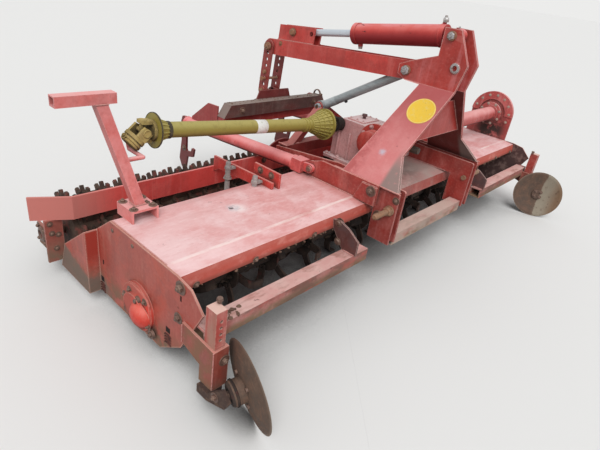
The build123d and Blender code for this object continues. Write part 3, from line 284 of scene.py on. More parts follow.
random.seed(7)
noise.seed_set(7)
hood_top = 0.468
fold_y = -0.54
crease_y = -0.462
coat = old_paint("hood_paint", (190, 78, 66), (226, 160, 158), (242, 208, 208), 1.0, 0.75, 0.2, 0.3)
# Pale lines along the crease and the front fold, broken into patches: painted highlights.
crease_highlight = coat.line(coat.y, crease_y, 0.012)
highlight_breaks = coat.patch(0.2, 0.3, 0.6, detail=4.0, stretch=(1, 0.1, 0.1))
coat.over((250, 232, 226), 0.55, crease_highlight, highlight_breaks, 0.8)
fold_highlight = coat.times(coat.line(coat.y, fold_y, 0.006), highlight_breaks, 0.55)
coat.over((240, 205, 198), 0.55, fold_highlight)
coat.over((252, 240, 238), 0.6, coat.spot((-1.05, -0.26, hood_top), 0.01, 0.06, 0.7))
scrape = coat.times(coat.spot((-1.066, -0.246, hood_top), 0.012, 0.045),
                    coat.patch(0.012, 0.35, 0.55, 0.9, 4.0, shift=4))
coat.over((206, 196, 200), 0.6, scrape, lift=-0.0003)
drawn = coat.grain(0.1, 5.0, stretch=(0.22, 1, 1), shift=21)
flat_top = coat.band(coat.facing, 0.6, 0.95)
coat.over((206, 124, 118), 0.7, flat_top, coat.band(drawn, 0.55, 0.72, 0.5))
coat.over((246, 220, 220), 0.7, flat_top, coat.band(drawn, 0.42, 0.28, 0.5))
fine_drawn = coat.grain(0.012, 6.0, stretch=(0.3, 1, 1), shift=31)
coat.over((206, 130, 124), 0.8, flat_top, coat.band(fine_drawn, 0.54, 0.66, 0.28))
coat.over((250, 226, 226), 0.8, flat_top, coat.band(fine_drawn, 0.44, 0.32, 0.3))
near_seam = coat.line(coat.math("ABSOLUTE", coat.x), 0.46, 0.1, 0.55)
coat.over((196, 120, 112), 0.75, near_seam, flat_top)
rear_strip = coat.times(coat.band(coat.y, -0.15, -0.085), flat_top)
coat.over((184, 104, 98), 0.8, rear_strip, coat.band(drawn, 0.3, 0.6, 0.6))
# Paler at the left end of the top: dust, and a painted sheen.
left_end_dust_and_sheen = coat.times(coat.band(coat.x, -0.95, -1.4, 0.45), flat_top, coat.band(drawn, 0.3, 0.6))
coat.over((250, 218, 218), 0.7, left_end_dust_and_sheen)
lip_face = coat.times(coat.band(coat.along, -0.5, -0.85), coat.band(coat.y, -0.5, -0.53))
coat.over((192, 82, 66), 0.5, lip_face, 0.85)
lip_spots = coat.patch(0.05, 0.5, 0.68, 0.7, stretch=(0.5, 1, 1), shift=8)
coat.over((216, 138, 126), 0.7, lip_face, lip_spots)
coat.over((128, 66, 54), 0.9, lip_face, coat.band(coat.z, 0.425, 0.408, 0.7))
coat.done("hood_left", "hood_right")

coat = old_paint("hood_middle_paint", (176, 76, 66), (196, 150, 144), (186, 166, 158), 1.0, 0.9, 0.2,
                 0.3, 2.0)
oil = coat.times(coat.spot((0.0, -0.3, hood_top), 0.15, 0.34), coat.patch(0.07, 0.35, 0.6))
coat.over((84, 66, 60), 0.7, oil, 0.45)
coat.done("hood_middle")

coat = old_paint("weld_paint", (168, 66, 56), (206, 130, 122), (214, 166, 158), 0.9, 0.6, 0.2, 0.6, 5.0)
weld_metal = coat.done()
seams = bmesh.new()
for x in (-0.41, 0.41):
    add_weld(seams, (x, -0.08, hood_top), (x, crease_y, hood_top), 0.0035)
    add_weld(seams, (x, crease_y, hood_top), (x, fold_y, 0.46), 0.0035)
hood_end = 1.541
add_welds(seams, ((hood_end, -0.081, hood_top - 0.004), (hood_end, -0.012, 0.28), 0.0035),
          ((hood_end, crease_y, hood_top + 0.001), (hood_end, -0.085, hood_top + 0.001), 0.003))
piece("hood_welds", seams, weld_metal)

# Side plates
# Thick cut plates bolted up at the hood's ends, joggled outwards at the rear; paler red, scoured by
# soil along the bottom edge. Each has two square holes, drawn as dark plates of painted shade, with
# worn grip ribs beneath them.
coat = old_paint("side_paint", (188, 84, 70), (196, 122, 112), (206, 154, 142), 0.6, 0.6, 0.24, 0.5,
                 1.0)
coat.over((196, 86, 66), 0.5, coat.patch(0.14, 0.52, 0.68, 0.5, shift=16, twist=0.8))
coat.over((190, 132, 120), 0.8, coat.patch(0.05, 0.6, 0.72, 0.5, 6.0, stretch=(1, 1, 0.35), shift=18))
to_outside = coat.times(coat.x, coat.across)
low_rear = coat.math("MULTIPLY_ADD", coat.y, 0.35, -0.02)
above_mud = coat.math("SUBTRACT", coat.z, low_rear)
mud_line = coat.sum(coat.times(coat.grain(0.08, 5.0, shift=3), 0.1), 0.085)
in_mud = coat.band(coat.math("SUBTRACT", above_mud, mud_line), 0.03, 0.0)
rear_half = coat.band(coat.y, -0.12, 0.02)
coat.over((124, 107, 96), 0.95, in_mud, rear_half, 0.92, lift=0.0015)
coat.over((140, 106, 88), 0.9, coat.patch(0.1, 0.52, 0.7, 0.5, shift=6), coat.band(coat.z, 0.4, 0.18))
# A darker stripe down the joggle's step: painted shade.
step_shade = coat.times(coat.line(coat.y, 0.03, 0.016), coat.band(coat.z, 0.2, 0.28))
coat.over((168, 62, 50), 0.5, step_shade)
coat.over((216, 176, 160), 0.7, coat.edge(0.01), 0.7)
# Inner faces darkened: painted shade, with patches of dirt over it.
inner_face_shade = coat.band(to_outside, -0.4, -1.0)
coat.over((86, 62, 60), 0.95, inner_face_shade)
coat.over((146, 118, 110), 0.95, inner_face_shade, coat.patch(0.05, 0.48, 0.66, 0.7, 6.0, shift=9))
coat.done("side_plate_left", "side_plate_right")

# Near black, for the holes and slits: painted shade.
coat = Finish("hole_shade", (16, 10, 9), rough=0.95)
coat.over((52, 34, 30), None, coat.patch(0.01, 0.45, 0.7, 0.6, 3.0))
hole_shade = coat.done()
coat = Finish("worn_ribs", (98, 52, 44), rough=0.8)
coat.over((62, 36, 32), 0.9, coat.patch(0.012, 0.4, 0.65, detail=4.0))
worn_ribs = coat.done()
coat = old_paint("dirty_bolts", (104, 76, 66), (122, 96, 84), (150, 124, 108), 0.6, 0.6, 0.1, 0.6, 9.0)
dark_steel = coat.done()


def around(count, start=0.0, step=None):
    """Cosine and sine of angles in degrees, evenly round a circle unless a step is given."""
    step = step or 360 / count
    return [(cos(a), sin(a)) for a in (radians(start + step * k) for k in range(count))]


def add_block(shape, middle, size, turned=Matrix()):
    """A block by its middle and its three lengths."""
    bmesh.ops.create_cube(shape, size=1,
                          matrix=Matrix.Translation(middle) @ turned @ Matrix.Diagonal((*size, 1)))


plate_face = 1.55
grip_holes = [(0.016, 0.139), (-0.485, 0.195)]
slits = [(-0.002, 0.234), (-0.563, 0.388)]
for side, name in ((-1, "left"), (1, "right")):
    proud = 1.5502 * side
    # Holes and slits as dark plates on the face: painted shade.
    shaded_holes = bmesh.new()
    ribs = bmesh.new()
    for y, z in grip_holes:
        add_block(shaded_holes, (proud, y, z), (0.0016, 0.026, 0.024))
        for k in range(4):
            arc = [Vector((proud, y + 0.021 * c, z - 0.032 - 0.013 * k + 0.01 * s))
                   for c, s in around(8, 20, 20)]
            for start, end in zip(arc, arc[1:]):
                half = 0.575 * (end - start).length
                add_rings(ribs, (start + end) / 2, end - start, (6, 0.004, 0.004, -half, half))
    for y, z in slits:
        add_block(shaded_holes, (proud, y, z), (0.0016, 0.007, 0.022))
    piece("side_shaded_holes_" + name, shaded_holes, hole_shade)
    piece("side_ribs_" + name, ribs, worn_ribs)
    bolts = bmesh.new()
    for y, z, size in ((-0.562, 0.434, 0.026), (-0.55, 0.296, 0.022)):
        add_bolt(bolts, (plate_face * side, y, z), (side, 0, 0), size)
    for y, z in ((-0.1, 0.435), (-0.25, 0.44)):
        add_rings(bolts, (plate_face * side, y, z), (side, 0, 0), (12, 0.009, 0.008, 0, 0.003))
    piece("side_bolts_" + name, bolts, dark_steel)

# Rotor
# A tube with welded flanges and bolted L-shaped blades, polished by work and then rusted under dried
# soil. Clods of earth still cling to it.


def rusty(name, dark, brown, soil, amount=0.4, shift=0.0, grime_and_shade=0.5):
    """Bare steel gone brown, with soil dried on it, and dirt with painted shade in its crevices."""
    f = Finish(name, dark, rough=0.75, metal=0.25)
    f.over(brown, 0.85, f.patch(0.05, 0.35, 0.65, shift=shift), metal=0.1)
    f.over(tint(brown, 0.6), None, f.patch(0.008, 0.45, 0.7, 0.5, 4.0, shift=shift + 2), lift=-0.0004)
    f.over(tint(brown, 1.35), 0.9, f.patch(0.02, 0.55, 0.68, 0.5, shift=shift + 6, twist=0.8))
    # Darker in crevices: dirt, and painted shade.
    f.over(tint(dark, 0.5), 0.95, f.corner(0.04, 0.7, 0.3, grime_and_shade))
    f.over(soil, 0.95, f.patch(0.09, 0.55 - 0.2 * amount, 0.7, amount, 6.0, shift=shift + 4), metal=0.0,
           lift=0.001)
    return f


def add_clod(shape, point, size):
    """A lump of dried earth."""
    flat = Matrix.Diagonal((random.uniform(0.7, 1.4), random.uniform(0.7, 1.3),
                            random.uniform(0.5, 0.9), 1))
    turned = Matrix.Rotation(random.uniform(0, 6.28), 4, "Z") @ flat
    made = bmesh.ops.create_icosphere(shape, subdivisions=1, radius=size,
                                      matrix=Matrix.Translation(point) @ turned)
    for vert in made["verts"]:
        vert.co += noise.noise_vector(vert.co * 90) * 0.35 * size


rotor_y = -0.29
rotor_z = 0.188
coat = rusty("rotor_rust", (52, 44, 42), (76, 56, 48), (92, 76, 66), 0.8)
coat.over((112, 50, 44), 0.7, coat.patch(0.05, 0.55, 0.7, 0.5, 4.0, shift=14))
# Near black where the hood and blades close round the rotor: painted shade.
coat.over((22, 15, 13), 0.95, coat.corner(0.22, 0.85, 0.35, 0.85))
rotor_rust = coat.done("rotor_shaft", "rotor_blades")
coat = Finish("dry_earth", (122, 96, 80), rough=0.98)
coat.over((88, 64, 54), None, coat.patch(0.01, 0.4, 0.7), lift=0.001)
dry_earth = coat.done()
coat = Finish("earth", (88, 72, 60), rough=0.98)
coat.over((58, 46, 40), None, coat.patch(0.01, 0.4, 0.7), lift=0.001)
# Near black where the earth is closed in: painted shade.
coat.over((26, 19, 16), None, coat.corner(0.2, 0.8, 0.35, 0.8))
earth = coat.done()
bolts = bmesh.new()
for n in range(12):
    x = (n - 5.5) * 0.25
    for k in range(6):
        way = 1 if k % 2 else -1
        a = radians(n * 30 + k * 60)
        for r in (0.066, 0.084):
            spot = (x + 0.015 * way, rotor_y - r * sin(a), rotor_z + r * cos(a))
            add_rings(bolts, spot, (way, 0, 0), (6, 0.01, 0.01, 0, 0.008),
                      (6, 0.005, 0.004, 0.008, 0.013))
piece("blade_bolts", bolts, rotor_rust, "rotor")
clods = bmesh.new()
for _ in range(260):
    a = random.uniform(0, 6.28)
    spot = (random.uniform(-1.5, 1.5), rotor_y + 0.046 * cos(a), rotor_z + 0.046 * sin(a))
    add_clod(clods, spot, random.uniform(0.006, 0.02))
piece("rotor_earth", clods, earth, "rotor", 60)

# Bearing cover
# A pressed dome on an arched flange plate over the rotor's left bearing, bolted at its corners and
# painted brighter than the rest.


def add_turned(shape, profile, point, axis, steps=28):
    """Turned on a lathe: pairs of radius and height along the axis."""
    before = set(shape.verts)
    rim = [shape.verts.new((r, 0, h)) for r, h in profile]
    edges = [shape.edges.new(pair) for pair in zip(rim, rim[1:])]
    bmesh.ops.spin(shape, geom=rim + edges, cent=(0, 0, 0), axis=(0, 0, 1), angle=2 * pi, steps=steps,
                   use_merge=True)
    bmesh.ops.transform(shape, matrix=standing(point, axis),
                        verts=[v for v in shape.verts if v not in before])


def add_plate(shape, corners, out, thick, bevel=0.0):
    """Flat plate: its outline's corners in space, pushed out by its thickness."""
    face = shape.faces.new([shape.verts.new(corner) for corner in corners])
    grown = bmesh.ops.extrude_face_region(shape, geom=[face], use_keep_orig=True)
    verts = [g for g in grown["geom"] if isinstance(g, bmesh.types.BMVert)]
    bmesh.ops.translate(shape, verts=verts, vec=Vector(out) * thick)
    if bevel:
        edges = [g for g in grown["geom"] if isinstance(g, bmesh.types.BMEdge)]
        bmesh.ops.bevel(shape, geom=edges, offset=bevel, segments=2, affect="EDGES", profile=0.5,
                        material=-1)


coat = old_paint("cover_paint", (224, 62, 48), (228, 112, 96), (210, 150, 132), 0.6, 0.6, 0.1, 0.5, 4.0)
dull = coat.sum(coat.band(coat.y, -0.315, -0.27, 0.85), coat.band(coat.z, 0.235, 0.262, 0.75))
coat.over((178, 92, 80), 0.7, dull)
coat.over((112, 92, 80), 0.95, coat.band(coat.z, 0.185, 0.13), coat.band(coat.y, -0.38, -0.3),
          coat.patch(0.03, 0.25, 0.5))
coat.over((26, 16, 14), 0.9, coat.spot((-1.58, -0.206, 0.158), 0.012, 0.045, 0.9))
coat.over((226, 170, 156), 0.6, coat.edge(0.006), 0.6)
cover_paint = coat.done("bearing_cover")
cover_x = -1.564
arch = [(-0.2, 0.236), (-0.222, 0.264), (-0.246, 0.28), (-0.276, 0.287), (-0.34, 0.28),
        (-0.372, 0.27), (-0.386, 0.25), (-0.39, 0.15), (-0.36, 0.112), (-0.196, 0.112)]
cover = bmesh.new()
add_plate(cover, [(cover_x, y, z) for y, z in arch], (-1, 0, 0), 0.006, 0.002)
dome = [(0.0, 0.038), (0.016, 0.037), (0.03, 0.033), (0.044, 0.026), (0.054, 0.014), (0.058, 0.0),
        (0.058, -0.003)]
add_turned(cover, dome, (-1.57, rotor_y - 0.042, rotor_z - 0.01), (-1, 0, -0.12), 40)
piece("bearing_cover_plate", cover, cover_paint, sharp=30)
bolts = bmesh.new()
for y, z, size in ((-0.251, 0.25, 0.015), (-0.36, 0.255, 0.015), (-0.382, 0.152, 0.016),
                   (-0.212, 0.205, 0.015)):
    add_bolt(bolts, (cover_x - 0.006, y, z), (-1, 0, 0), size)
add_rings(bolts, (-1.57, -0.316, 0.238), (-1, 0, 0.1), (16, 0.019, 0.016, 0, 0.012),
          (6, 0.01, 0.009, 0.012, 0.02))
add_rings(bolts, (-1.562, -0.398, 0.122), (-1, 0, 0), (18, 0.02, 0.018, 0, 0.01),
          (6, 0.01, 0.009, 0.01, 0.018))
piece("bearing_cover_bolts", bolts, dark_steel)

# Side drive
# A plate gear case on the right with an arched front rib, and the steel tube that carries the shaft
# to it from the gearbox. Small bolts hold the case together round its rim.
coat = old_paint("case_paint", (194, 84, 80), (226, 150, 148), (230, 176, 172), 0.9, 0.6, 0.2, 0.4, 6.0)
smear = coat.times(coat.spot((1.53, -0.325, 0.525), 0.06, 0.17), coat.patch(0.05, 0.28, 0.55))
coat.over((52, 38, 34), 0.8, smear)
case_paint = coat.done("drive_case", "drive_tube")
shaft_y = -0.301
shaft_z = 0.649
coat = rusty("pale_steel", (176, 164, 154), (188, 166, 152), (196, 168, 156), 0.3, 6.0, 0.2)
pale_steel = coat.done()
bolts = bmesh.new()
for c, s in around(9, -10, 26):
    add_bolt(bolts, (1.526, shaft_y + 0.138 * c, shaft_z + 0.138 * s), (-1, 0, 0), 0.01)
piece("case_bolts", bolts, pale_steel)
bolts = bmesh.new()
case_face = 1.636
rim_low = 0.13
rim_high = 0.104
rim_bolts = [(rotor_y + rim_low * c, rotor_z + rim_low * s) for c, s in around(8, 195, 22)]
rim_bolts += [(shaft_y + rim_high * c, shaft_z + rim_high * s) for c, s in around(7, 15, 25)]
for k in range(1, 6):
    up_share = k / 6
    half = rim_low + (rim_high - rim_low) * up_share
    rim_bolts += [(rotor_y + (shaft_y - rotor_y) * up_share + way * half,
                   rotor_z + (shaft_z - rotor_z) * up_share) for way in (-1, 1)]
for y, z in rim_bolts:
    add_bolt(bolts, (case_face, y, z), (1, 0, 0), 0.014)
add_rings(bolts, (case_face, rotor_y, 0.36), (1, 0, 0), (8, 0.014, 0.013, 0, 0.01),
          (4, 0.006, 0.005, 0.01, 0.016))
piece("case_rim_bolts", bolts, pale_steel)
tube_end = 1.488
hubs = bmesh.new()
add_turned(hubs, [(0.072, 0.0), (0.072, 0.012), (0.064, 0.018), (0.03, 0.02), (0.0, 0.02)],
           (case_face, rotor_y, rotor_z), (1, 0, 0), 36)
for x, steps, profile in (
        (case_face, 36, [(0.056, 0.0), (0.056, 0.01), (0.048, 0.015), (0.0, 0.016)]),
        (0.7, 32, [(0.05, 0.0), (0.056, 0.004), (0.056, 0.016), (0.05, 0.02)]),
        (tube_end, 36, [(0.066, 0.0), (0.086, 0.0), (0.086, 0.01), (0.066, 0.014)])):
    add_turned(hubs, profile, (x, shaft_y, shaft_z), (1, 0, 0), steps)
piece("case_hubs", hubs, case_paint)
bolts = bmesh.new()
for c, s in around(8, 22):
    add_bolt(bolts, (0.125, shaft_y + 0.074 * c, shaft_z + 0.074 * s), (1, 0, 0), 0.013)
    add_bolt(bolts, (tube_end, shaft_y + 0.077 * c, shaft_z + 0.077 * s), (-1, 0, 0), 0.01)
piece("drive_tube_bolts", bolts, pale_steel)

# Gearbox
# A painted iron casting with a round neck on each side, dulled pink by dust and oil. Its lid, side
# cap and input seal are bolted on, and ribs stiffen it down to the foot.
coat = old_paint("casting", (208, 150, 148), (222, 194, 194), (214, 192, 188), 0.9, 0.95, 0.1, 0.3, 8.0,
                 0.5)
coat.over((150, 96, 90), None, coat.patch(0.006, 0.4, 0.7, 0.3, 3.0), lift=0.0006)
breather = coat.spot((0, -0.13, 0.738), 0.018, 0.022)
coat.over((92, 62, 62), 0.8, breather)
casting = coat.done("gearbox")
coat = old_paint("neck_paint", (186, 58, 48), (200, 112, 104), (200, 140, 132), 0.6, 0.4, 0.1, 0.4, 3.0)
neck_paint = coat.done("gearbox_cap")
details = bmesh.new()
lid_top = 0.712
lid = [(-0.08, -0.185), (0.08, -0.185), (0.08, -0.07), (-0.08, -0.07)]
add_plate(details, [(x, y, lid_top) for x, y in lid], (0, 0, 1), 0.008, 0.002)
for side in (-1, 1):
    for y in (-0.215, -0.13, -0.05):
        rib = [(y - 0.005, 0.48), (y + 0.005, 0.48), (y + 0.005, 0.64), (y - 0.005, 0.64)]
        add_plate(details, [(0.104 * side, *corner) for corner in rib], (side, 0, 0), 0.012, 0.002)
add_turned(details, [(0.04, 0.0), (0.054, 0.0), (0.054, 0.008), (0.04, 0.01), (0.026, 0.006)],
           (0, -0.439, shaft_z), (0, -1, 0), 36)
piece("gearbox_details", details, casting)
rings = bmesh.new()
cap_face = -0.121
add_turned(rings, [(0.064, 0.0), (0.07, 0.006), (0.07, 0.014), (0.064, 0.02)],
           (cap_face, shaft_y, shaft_z), (-1, 0, 0), 36)
add_turned(rings, [(0.064, -0.012), (0.068, -0.01), (0.068, 0.0), (0.06, 0.005), (0.03, 0.007),
                   (0.0, 0.007)], (-0.187, shaft_y, shaft_z), (-1, 0, 0), 36)
piece("gearbox_cap_rings", rings, neck_paint)
bolts = bmesh.new()
for c, s in around(8, 22):
    add_bolt(bolts, (cap_face, shaft_y + 0.084 * c, shaft_z + 0.084 * s), (-1, 0, 0), 0.013)
for x in (-0.066, 0.066):
    for y in (-0.172, -0.128, -0.083):
        add_bolt(bolts, (x, y, lid_top + 0.008), (0, 0, 1), 0.01)
for x in (-0.128, 0.128):
    for y in (-0.33, -0.2, -0.08, 0.005):
        add_bolt(bolts, (x, y, 0.482), (0, 0, 1), 0.02)
for c, s in around(6):
    add_bolt(bolts, (0.049 * c, -0.447, shaft_z + 0.049 * s), (0, -1, 0), 0.009)
add_rings(bolts, (0.105, -0.1, 0.6), (1, 0, 0), (6, 0.014, 0.012, 0, 0.012))
piece("gearbox_bolts", bolts, casting)

# Headstock
# Bent plates welded to upright cheek plates, with a cross plate between them and rails along the
# hood. A bare yellow sticker is left on the left one, and the paint is rubbed off where hands reach.
coat = old_paint("mast_paint", (190, 60, 50), (216, 136, 136), (226, 168, 164), 0.9, 0.35, 0.1, 0.35,
                 5.0)
old_rub = coat.times(coat.spot((-0.33, -0.497, 0.687), 0.008, 0.03),
                     coat.patch(0.01, 0.35, 0.5, detail=4.0))
coat.over((196, 184, 196), 0.6, old_rub, lift=-0.0003)
splayed = coat.band(coat.facing, 0.35, 0.6)
coat.over((164, 66, 66), 0.5, splayed, coat.band(coat.z, 0.7, 0.97, 0.75))
lower_edge = coat.times(splayed, coat.band(coat.y, -0.47, -0.4), coat.patch(0.04, 0.3, 0.6, 0.6))
coat.over((160, 56, 54), 0.6, lower_edge)
pale_rub = coat.times(coat.patch(0.05, 0.6, 0.68, 0.5, 6.0, stretch=(1, 0.3, 1), shift=41),
                      coat.band(coat.z, 0.98, 1.05))
coat.over((206, 122, 114), 0.7, pale_rub)
foot_dirt = coat.times(coat.band(coat.z, 0.76, 0.64), coat.band(coat.y, -0.575, -0.6),
                       coat.patch(0.03, 0.15, 0.42, 0.9, shift=2))
coat.over((136, 122, 116), 0.95, foot_dirt, lift=0.0008)
coat.over((240, 196, 188), 0.7, coat.edge(0.007), coat.band(coat.facing, 0.9, 0.7, 0.8))
coat.done("mast_plate_left", "mast_plate_right", "mast_cross_plate")
coat = old_paint("cheek_paint", (168, 58, 50), (206, 128, 120), (214, 170, 160), 0.9, 0.5, 0.1, 0.5,
                 7.0)
coat.done("cheek_plates_left", "cheek_plates_right", "rail_left", "rail_right")

# The sticker lies on the splayed plate's outer face, where the line of sight through its place in the
# picture, 121 pixels right of the middle and 114 above it, meets that face.
slope = (0.43 - 0.05) / (1.0 - 0.569)
outward = Vector((-1, 0, slope)).normalized()
line_of_sight = back * -focal + right * 121 + up * 114
plate_point = Vector((-0.05, 0, 1.0)) + outward * 0.0153
sticker_at = eye + line_of_sight * ((plate_point - eye).dot(outward) / line_of_sight.dot(outward))
coat = Finish("yellow_sticker", (236, 196, 62), rough=0.45)
coat.over((226, 206, 130), 0.6, coat.patch(0.02, 0.5, 0.7, 0.5))
coat.over((150, 128, 80), 0.8, coat.patch(0.006, 0.62, 0.68, 0.5, shift=3))
sticker = bmesh.new()
add_turned(sticker, [(0.0, 0.0006), (0.066, 0.0006), (0.067, 0.0008), (0.072, 0.0008), (0.0725, 0.0)],
           sticker_at, outward, 48)
piece("yellow_sticker", sticker, coat.done())
rim = bmesh.new()
add_turned(rim, [(0.0665, 0.0006), (0.067, 0.0014), (0.0705, 0.0014), (0.0712, 0.0006)], sticker_at,
           outward, 48)
coat = Finish("yellow_rim", (240, 214, 120), rough=0.5)
coat.over((196, 170, 92), None, coat.patch(0.01, 0.5, 0.7, 0.5, 4.0))
piece("yellow_sticker_rim", rim, coat.done())

bolts = bmesh.new()
rings = bmesh.new()
for side in (-1, 1):
    add_turned(rings, [(0.0128, 0.0), (0.0128, 0.0025), (0.021, 0.0025), (0.024, 0.0)],
               (0.071 * side, -0.625, 1.114), (side, 0, 0), 32)
    for y, z, size in ((-0.568, 1.251, 0.019), (-0.368, 1.051, 0.024)):
        add_rings(rings, (0.079 * side, y, z), (side, 0, 0), (6, size, size, 0, 0.006),
                  (6, size, 0.8 * size, 0.006, 0.009), (10, 0.5 * size, 0.4 * size, 0.009, 0.014))
    for y, z, size in ((-0.568, 0.54, 0.022), (-0.69, 0.53, 0.018), (-0.61, 0.42, 0.024)):
        add_bolt(bolts, (0.443 * side, y, z), (side, 0, 0), size)
    add_bolt(bolts, (0.476 * side, -0.563, 0.538), (side, 0, 0), 0.026)
    add_rings(bolts, (0.494 * side, -0.172, 0.513), (side, 0, 0), (14, 0.014, 0.012, 0, 0.006))
coat = Finish("ring_steel", (176, 172, 172), rough=0.35, metal=0.4)
coat.over((104, 92, 90), 0.7, coat.patch(0.006, 0.45, 0.65, 0.8, 4.0))
# Darker in corners: dirt, and painted shade.
coat.over((60, 40, 38), 0.9, coat.corner(0.008, 0.7, 0.4, 0.8))
piece("top_link_rings", rings, coat.done())
piece("headstock_bolts", bolts, dark_steel)
welds = bmesh.new()
add_welds(welds, ((0.452, -0.7, 0.57), (0.452, -0.358, 0.57), 0.0045),
          ((0.431, -0.698, 0.57), (0.431, -0.358, 0.57), 0.004),
          ((0.1015, -0.591, 0.94), (0.26, -0.591, 0.762), 0.004),
          ((0.376, -0.54, 0.469), (0.376, 0.11, 0.469), 0.004),
          ((0.468, -0.54, 0.469), (0.468, -0.18, 0.469), 0.004),
          ((0.466, -0.5, 0.564), (0.466, -0.585, 0.564), 0.003))
piece("headstock_welds", welds, weld_metal)

# Pins and input shaft
# Turned steel, oiled where it works and brown elsewhere. The input shaft has six splines and a ball
# groove near its end.
coat = rusty("pin_steel", (150, 124, 104), (158, 110, 82), (166, 134, 110), 0.35, 1.0, 0.3)
pin_steel = coat.done("mast_pins", "lever_pins", "lower_link_pins")
coat = rusty("shaft_steel", (96, 92, 88), (96, 76, 62), (90, 72, 58), 0.3, 4.0)
shaft_steel = coat.done("input_shaft")
splines = bmesh.new()
for k, (c, s) in enumerate(around(6)):
    add_block(splines, (0.0172 * c, -0.482, shaft_z + 0.0172 * s), (0.004, 0.066, 0.0078),
              Matrix.Rotation(radians(-60 * k), 4, "Y"))
piece("input_splines", splines, shaft_steel, "input")
details = bmesh.new()
pin_y = -0.668
pin_z = 0.47
for side in (-1, 1):
    for x, profile in ((0.565, [(0.0142, 0.0), (0.0142, 0.004), (0.01, 0.009), (0.0, 0.01)]),
                       (0.545, [(0.0142, 0.0), (0.0155, 0.001), (0.0155, 0.003), (0.0142, 0.004)])):
        add_turned(details, profile, (x * side, pin_y, pin_z), (side, 0, 0), 20)
    add_rings(details, (0.455 * side, pin_y, pin_z), (side, 0, 0), (6, 0.024, 0.024, 0, 0.014),
              (6, 0.024, 0.02, 0.014, 0.018))
    add_rings(details, (0.54 * side, pin_y, pin_z - 0.02), (0, 0, 1), (8, 0.003, 0.003, 0, 0.045))
piece("lower_pin_details", details, pin_steel)

# Front protection tubes
# Rectangular tubes that keep feet and stones away from the rotor, scoured pale on top and caked with
# tan soil underneath. Upright brackets bolt them to the hood's lip.
coat = old_paint("tube_paint", (178, 104, 96), (214, 158, 152), (222, 188, 180), 1.0, 0.75, 0.3, 0.8,
                 2.0)
front_face = coat.band(coat.along, -0.4, -0.8)
low_share = coat.band(coat.z, 0.304, 0.276)
coat.over((142, 116, 92), 0.95, low_share, coat.patch(0.05, 0.3, 0.5, detail=6.0), lift=0.001)
coat.over((118, 86, 74), 0.9, front_face,
          coat.patch(0.07, 0.42, 0.62, 0.8, 6.0, stretch=(0.45, 1, 1), shift=5))
coat.over((188, 90, 80), 0.6, front_face,
          coat.patch(0.06, 0.48, 0.64, 0.8, stretch=(0.5, 1, 1), shift=15))
coat.over((164, 112, 100), 0.9, coat.band(coat.facing, 0.5, 0.9),
          coat.patch(0.05, 0.5, 0.68, 0.7, 6.0, stretch=(0.4, 1, 1), shift=25))
between_rails = coat.band(coat.math("ABSOLUTE", coat.x), 0.46, 0.4, 0.65)
coat.over((206, 186, 172), 0.9, between_rails,
          coat.patch(0.06, 0.3, 0.55, stretch=(0.4, 1, 1), shift=35))
coat.over((170, 58, 48), 0.6, coat.spot((-1.47, -0.72, 0.3), 0.02, 0.07, 0.7))
coat.done("front_tube_left", "front_tube_middle", "front_tube_right")
coat = old_paint("bracket_paint", (104, 62, 58), (150, 108, 102), (128, 104, 100), 0.8, 0.8, 0.3, 0.8,
                 12.0)
coat.over((84, 72, 74), 0.9, coat.patch(0.05, 0.4, 0.65, 0.6, shift=3))
coat.over((196, 160, 150), 0.7, coat.edge(0.006), 0.9)
coat.done("tube_brackets")
bolts = bmesh.new()
for side in (-1, 1):
    for y, z in ((-0.577, 0.44), (-0.59, 0.35)):
        add_rings(bolts, (0.716 * side, y, z), (side, 0, 0), (18, 0.018, 0.018, 0, 0.003),
                  (14, 0.014, 0.009, 0.003, 0.009))
        add_bolt(bolts, (0.706 * side, y, z), (-side, 0, 0), 0.022)
    for x in (0.85, 1.2, 1.48):
        add_bolt(bolts, (x * side, -0.552, 0.412), (0, -1, -0.2), 0.014)
piece("bracket_bolts", bolts, dark_steel)
welds = bmesh.new()
add_welds(welds, *(((x, -0.689, 0.323), (x, y, 0.323), 0.004)
                   for x, y in ((0.7055, -0.632), (0.7165, -0.632), (1.5405, -0.64))))
piece("tube_welds", welds, weld_metal)
scraps = bmesh.new()
for _ in range(26):
    spot = (random.uniform(-1.5, -1.36), random.uniform(-0.69, -0.65), 0.324)
    add_clod(scraps, spot, random.uniform(0.003, 0.009))
for _ in range(60):
    spot = (random.uniform(-1.5, 1.5), random.uniform(-0.56, -0.545), 0.403)
    add_clod(scraps, spot, random.uniform(0.003, 0.007))
piece("front_earth", scraps, dry_earth, sharp=60)

# Side discs
# Dished steel discs on slanted spindles, in shanks that slide in box holders on the side plates. The
# discs are worn smooth and brown, with rings rubbed in by the soil.
coat = old_paint("holder_paint", (168, 76, 62), (212, 140, 128), (210, 164, 148), 0.9, 0.5, 0.18, 0.7,
                 3.0)
outer_side = coat.times(coat.x, coat.across)
coat.over((140, 106, 84), 0.9, coat.band(outer_side, 0.8, 1.3),
          coat.patch(0.05, 0.35, 0.6, 0.8, shift=4))
coat.done("disc_holder_left", "disc_holder_right")
coat = old_paint("shank_paint", (186, 70, 62), (226, 190, 178), (226, 184, 170), 1.0, 0.6, 0.2, 0.7,
                 4.0)
outer_side = coat.times(coat.x, coat.across)
coat.over((176, 134, 118), 0.8, coat.band(outer_side, 0.8, 1.3), coat.band(coat.z, 0.24, 0.3),
          coat.patch(0.06, 0.3, 0.6, 0.8, stretch=(1, 1, 0.2)))
low_end = coat.band(coat.z, 0.24, 0.215)
coat.over((74, 56, 50), 0.9, low_end)
coat.over((112, 88, 74), 0.95, low_end, coat.patch(0.02, 0.45, 0.65, 0.7), lift=0.001)
coat.done("disc_shank_left", "disc_shank_right")
